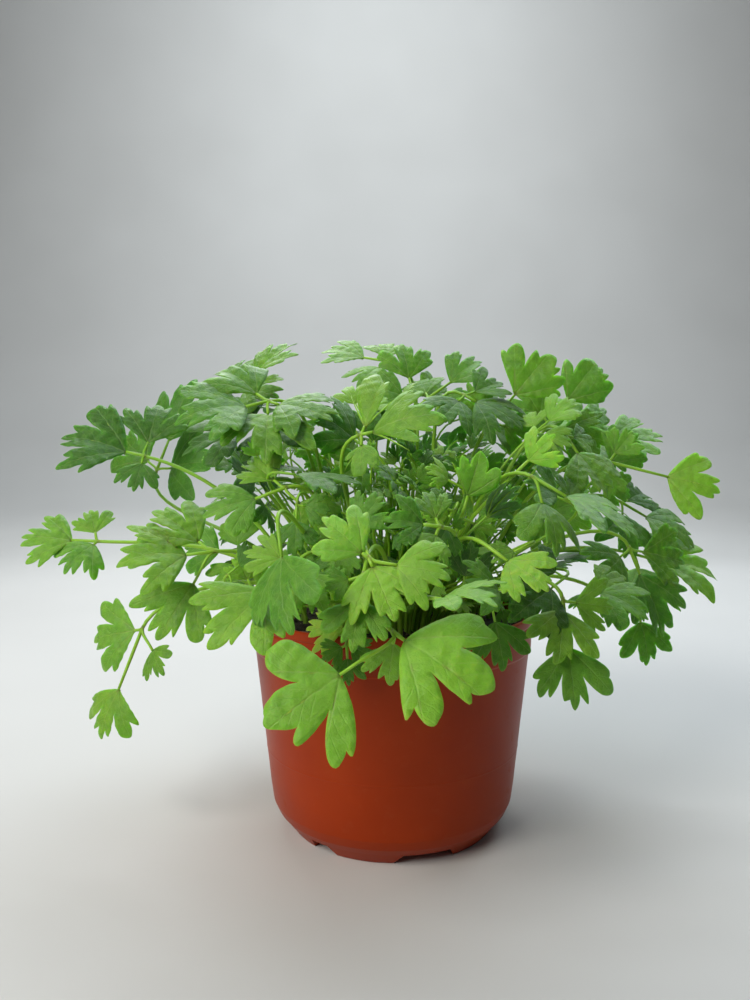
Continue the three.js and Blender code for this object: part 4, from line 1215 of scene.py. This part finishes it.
def make_soil(material):
    """A closed block with an uneven top and crumbs on it."""
    rng = np.random.default_rng(5)
    waves = [(*(rng.uniform(-1, 1) * 2 ** octave * SOIL_WAVES["pitch"] for _ in range(2)),
              rng.uniform(0, 6.28), SOIL_WAVES["size"] * SOIL_WAVES["fading"] ** octave)
             for octave in range(SOIL_WAVES["octaves"]) for _ in range(SOIL_WAVES["each"])]
    mesher = Mesher()
    rings, around = SOIL_RINGS, SOIL_AROUND
    places = [(0, 0)]
    for i in range(1, rings + 1):
        radius = SOIL_RADIUS * i / rings
        for k in range(around):
            angle = 2 * math.pi * (k + 0.5 * (i % 2)) / around
            places.append((radius * math.cos(angle), radius * math.sin(angle)))
    places = np.array(places)
    height = soil_height(places[:, 0], places[:, 1], waves)
    height = height + rng.normal(0, SOIL_GRAIN, len(height))
    height = np.clip(height, *SOIL_LIMITS)
    top = np.column_stack([places, height])
    triangles = [(0, 1 + k, 1 + (k + 1) % around) for k in range(around)]
    # The rest of the block, down to the pot's floor.
    angles = 2 * np.pi * (np.arange(around) + 0.5 * (rings % 2)) / around
    lower = [np.column_stack([r * np.cos(angles), r * np.sin(angles), np.full(around, z)])
             for r, z in SOIL_WALLS]
    for i in range(rings - 1 + len(SOIL_WALLS)):
        triangles += strip(1 + i * around, around)
    centre = len(top) + around * len(SOIL_WALLS)
    last = centre - around
    triangles += [(centre, last + (k + 1) % around, last + k) for k in range(around)]
    block = np.concatenate([top, *lower, [[0, 0, SOIL_WALLS[-1][1]]]])
    mesher.add(block, np.array(triangles), 0, np.zeros((len(block), 3)), (0, 0, 0))
    for _ in range(SOIL_CRUMBS):
        crumb(mesher, rng, waves)
    return mesher.piece("soil_block", [material])


def crumb(mesher, rng, waves):
    """A chip of bark, fibre or grit that lies on the soil."""
    radius = SOIL_RADIUS * CRUMB_SPREAD * math.sqrt(rng.uniform(0, 1))
    angle = rng.uniform(0, 2 * math.pi)
    x, y = radius * math.cos(angle), radius * math.sin(angle)
    size = rng.uniform(*CRUMB_SIZE["range"]) ** 2 * CRUMB_SIZE["most"] + CRUMB_SIZE["least"]
    shape = np.array([1, rng.uniform(0.4, 1), rng.uniform(0.3, 0.7)]) * size
    if rng.uniform() < FIBRES["share"]:
        shape = np.array([rng.uniform(*FIBRES["length"]), *FIBRES["section"]])
    corners = np.array(OCTAHEDRON, float) * (1 + rng.uniform(-0.3, 0.3, (6, 3)))
    turn = Euler((rng.uniform(-0.5, 0.5), rng.uniform(-0.5, 0.5), rng.uniform(0, 6.28))).to_matrix()
    height = float(soil_height(np.array([x]), np.array([y]), waves)[0])
    height = min(max(height, SOIL_LIMITS[0]), SOIL_LIMITS[1])
    places = (corners * shape) @ np.array(turn).T + [x, y, height + CRUMB_LIFT * size]
    if np.hypot(places[:, 0], places[:, 1]).max() > SOIL_RADIUS:
        return
    mesher.add(places, OCTAHEDRON_FACES, 0, np.zeros((6, 3)), (rng.uniform(0, 1) ** 1.5, 1, 0))


# ---- Assembly ----

def settle(piece, slot, *nodes):
    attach(piece, "root")
    if nodes:
        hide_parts(*nodes)
    return piece


def make_fronds(leaf_materials, stalk, templates, own):
    """One piece for each packed leafy stem. Returns where the leaflets are, to fill between."""
    taken = []
    fronds = SEEN_FRONDS + hidden_fronds()
    slots = list(leaf_materials)
    for index, frond in enumerate(fronds):
        name = f"leafy_stem_{index + 1:02d}"
        placed = as_packed(frond, index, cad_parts[name])
        mesher = Mesher()
        draw = leaf_stream(index)
        rng = np.random.default_rng(1000 + index)
        frond_into(mesher, placed, draw, rng, templates, own=own.get(index + 1, ()))
        slot = slots[index % len(slots)]
        piece = mesher.piece(f"frond_{index + 1:02d}", [leaf_materials[slot], stalk])
        settle(piece, slot, name)
        taken += leaf_middles(mesher)
    return taken


def make_small(leaf_materials, stalk, templates, taken):
    """The small fronds, as one piece. Adds where their leaflets are to taken."""
    mesher = Mesher()
    rng = np.random.default_rng(7)
    for number, frond in enumerate(SMALL_FRONDS):
        placed = {**frond, "roll": 0, "shift": (0, 0)}
        frond_into(mesher, placed, stream(977 * number + 5), rng, templates, thin=SMALL_STEMS)
    settle(mesher.piece("small_fronds", [leaf_materials["leaf_green"], stalk]), "leaf_green")
    taken.extend(leaf_middles(mesher))


def leaf_middles(mesher):
    """The middle and the size of each blade in a mesher."""
    middles = []
    for places, materials in zip(mesher.places, mesher.materials):
        if materials[0] == 0:
            middle = places.mean(0)
            middles.append((middle, np.linalg.norm(places - middle, axis=1).max()))
    return middles


def make_young(leaf_materials, stalk, templates, taken):
    """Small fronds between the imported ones, each where it finds room."""
    slots = list(leaf_materials)
    for number, group in enumerate(YOUNG_GROUPS):
        mesher = Mesher()
        rng = np.random.default_rng(group["seed"])
        for _ in range(group["count"]):
            best, room = None, -1e9
            for _ in range(YOUNG_TRIES):
                frond = young_frond(group, rng)
                middle = np.array(Vector(frond["base"]) + 0.4 * frond["length"] * direction(
                    frond["heading"], frond["pitch"]))
                gap = min(np.linalg.norm(middle - other) - YOUNG_GAP * size
                          for other, size in taken)
                if gap > room:
                    best, room = frond, gap
            draw = stream(int(rng.integers(1 << 31)))
            before = len(mesher.places)
            frond_into(mesher, best, draw, rng, templates, ribbed=False,
                       thin=YOUNG_STEMS)
            added = Mesher()
            added.places, added.materials = mesher.places[before:], mesher.materials[before:]
            taken += leaf_middles(added)
        slot = slots[number % len(slots)]
        piece = mesher.piece(group["name"], [leaf_materials[slot], stalk])
        settle(piece, slot)


def young_frond(group, rng):
    """A frond somewhere in its group's space. It leans away from the pot's axis."""
    azimuth = rng.uniform(*group["azimuth"])
    reach = rng.uniform(*group["reach"])
    length = rng.uniform(*group["length"])
    return {
        "base": (*polar(azimuth, reach), rng.uniform(*group["height"])),
        "length": length, "heading": azimuth + rng.uniform(*YOUNG_RANGES["aside"]),
        "pitch": rng.uniform(*group["pitch"]), "stalk": YOUNG_STALK * length,
        "roll": rng.uniform(*YOUNG_RANGES["roll"]),
        "shift": tuple(rng.uniform(*YOUNG_RANGES["shift"], 2)), "tone": rng.uniform(*group["tone"]),
        "face": SEEN_FACE if math.sin(math.radians(azimuth)) < 0.3 else HIDDEN_FACE,
    }


# ---- Studio, in metres ----
SHEET_PROFILE = [(-2.2, 0), (0.9, 0), (1.3, 0.05), (1.6, 0.2), (1.8, 0.5), (1.9, 1.0), (1.9, 2.4)]
SHEET_HALF_WIDTH = 2.4
PAPER_TONES = [(0.3, (0.60, 0.585, 0.56)), (0.7, (0.64, 0.625, 0.60))]
PLANT_MIDDLE = (0, 0, 0.11)
LIGHTS = [
    {"name": "key", "place": (-0.66, -0.7, 0.75), "to": PLANT_MIDDLE, "size": 0.7, "power": 11,
     "colour": (1.0, 0.98, 0.93)},
    {"name": "back", "place": (-0.2, 0.75, 0.85), "to": PLANT_MIDDLE, "size": 0.6, "power": 5,
     "colour": (0.95, 0.98, 1.0)},
    {"name": "side", "place": (0.5, 0.5, 0.8), "to": PLANT_MIDDLE, "size": 0.6, "power": 3,
     "colour": (0.8, 0.9, 1.0)},
    {"name": "sky", "place": (0.1, 0.2, 1.4), "to": PLANT_MIDDLE, "size": 1.3, "power": 5,
     "colour": (0.72, 0.88, 1.0)},
    {"name": "backdrop", "place": (0, 0.9, 1.5), "to": (0, 1.9, 0.5), "size": 1.0, "power": 14,
     "colour": (0.86, 0.94, 1.0)},
]
ROOM_LIGHT = {"colour": (0.86, 0.93, 1.0, 1), "strength": 0.08}
CAMERA = {"place": (-0.0072, -0.3437, 0.1568), "down": 3.125, "roll": -0.12, "film_height": 36,
          "lens": 28.8, "nearest": 0.01}


def make_stage():
    """A pale sheet that lies flat under the pot and curves up behind it."""
    builder = bmesh.new()
    rows = [[builder.verts.new((x, y, height)) for x in (-SHEET_HALF_WIDTH, SHEET_HALF_WIDTH)]
            for y, height in SHEET_PROFILE]
    for near, far in zip(rows, rows[1:]):
        builder.faces.new((near[0], near[1], far[1], far[0]))
    floor = built("studio_floor", builder)
    floor.data.shade_smooth()
    paper = Shading("studio_paper")
    colour = paper.ramp(paper.noise(scale=3, detail=2), PAPER_TONES)
    floor.data.materials.append(paper.finish({"Base Color": colour, "Roughness": 0.85}))


def make_light():
    """Soft lamps and a faint light from all round."""
    for lamp in LIGHTS:
        data = bpy.data.lights.new(lamp["name"], "AREA")
        data.shape, data.size = "DISK", lamp["size"]
        data.energy, data.color = lamp["power"], lamp["colour"]
        light = linked(lamp["name"], data)
        light.location = lamp["place"]
        way = Vector(lamp["to"]) - Vector(lamp["place"])
        light.rotation_euler = way.to_track_quat("-Z", "Y").to_euler()
    world = bpy.data.worlds.new("studio")
    world.use_nodes = True
    background = world.node_tree.nodes["Background"]
    background.inputs["Color"].default_value = ROOM_LIGHT["colour"]
    background.inputs["Strength"].default_value = ROOM_LIGHT["strength"]
    bpy.context.scene.world = world


def make_camera():
    """The camera of the photograph."""
    data = bpy.data.cameras.new("camera")
    data.sensor_fit, data.sensor_height = "VERTICAL", CAMERA["film_height"]
    data.lens, data.clip_start = CAMERA["lens"], CAMERA["nearest"]
    camera = linked("camera", data)
    turn = (Matrix.Rotation(math.radians(90 - CAMERA["down"]), 4, "X")
            @ Matrix.Rotation(math.radians(CAMERA["roll"]), 4, "Z"))
    camera.matrix_world = Matrix.Translation(CAMERA["place"]) @ turn
    bpy.context.scene.camera = camera
    bpy.context.scene.view_settings.view_transform = "Standard"


make_camera()
make_light()
make_stage()
make_pot()
settle(make_soil(soil_material()), "soil", "soil")

leaf_materials = {
    "leaf_fresh": leaf_material("leaf_fresh", 0.02),
    "leaf_green": leaf_material("leaf_green", 0.0),
    "leaf_deep": leaf_material("leaf_deep", -0.02),
}
stalk = stalk_material()
fine = [make_template(70 + i, FINE_SPACING) for i in range(TEMPLATES)]
coarse = [make_template(90 + i, COARSE_SPACING) for i in range(TEMPLATES)]
own = {number: [make_template(60, FINE_SPACING, margin) for margin in margins]
       for number, margins in OWN_MARGINS.items()}
taken = make_fronds(leaf_materials, stalk, fine, own)
make_small(leaf_materials, stalk, fine, taken)
make_young(leaf_materials, stalk, coarse, taken)
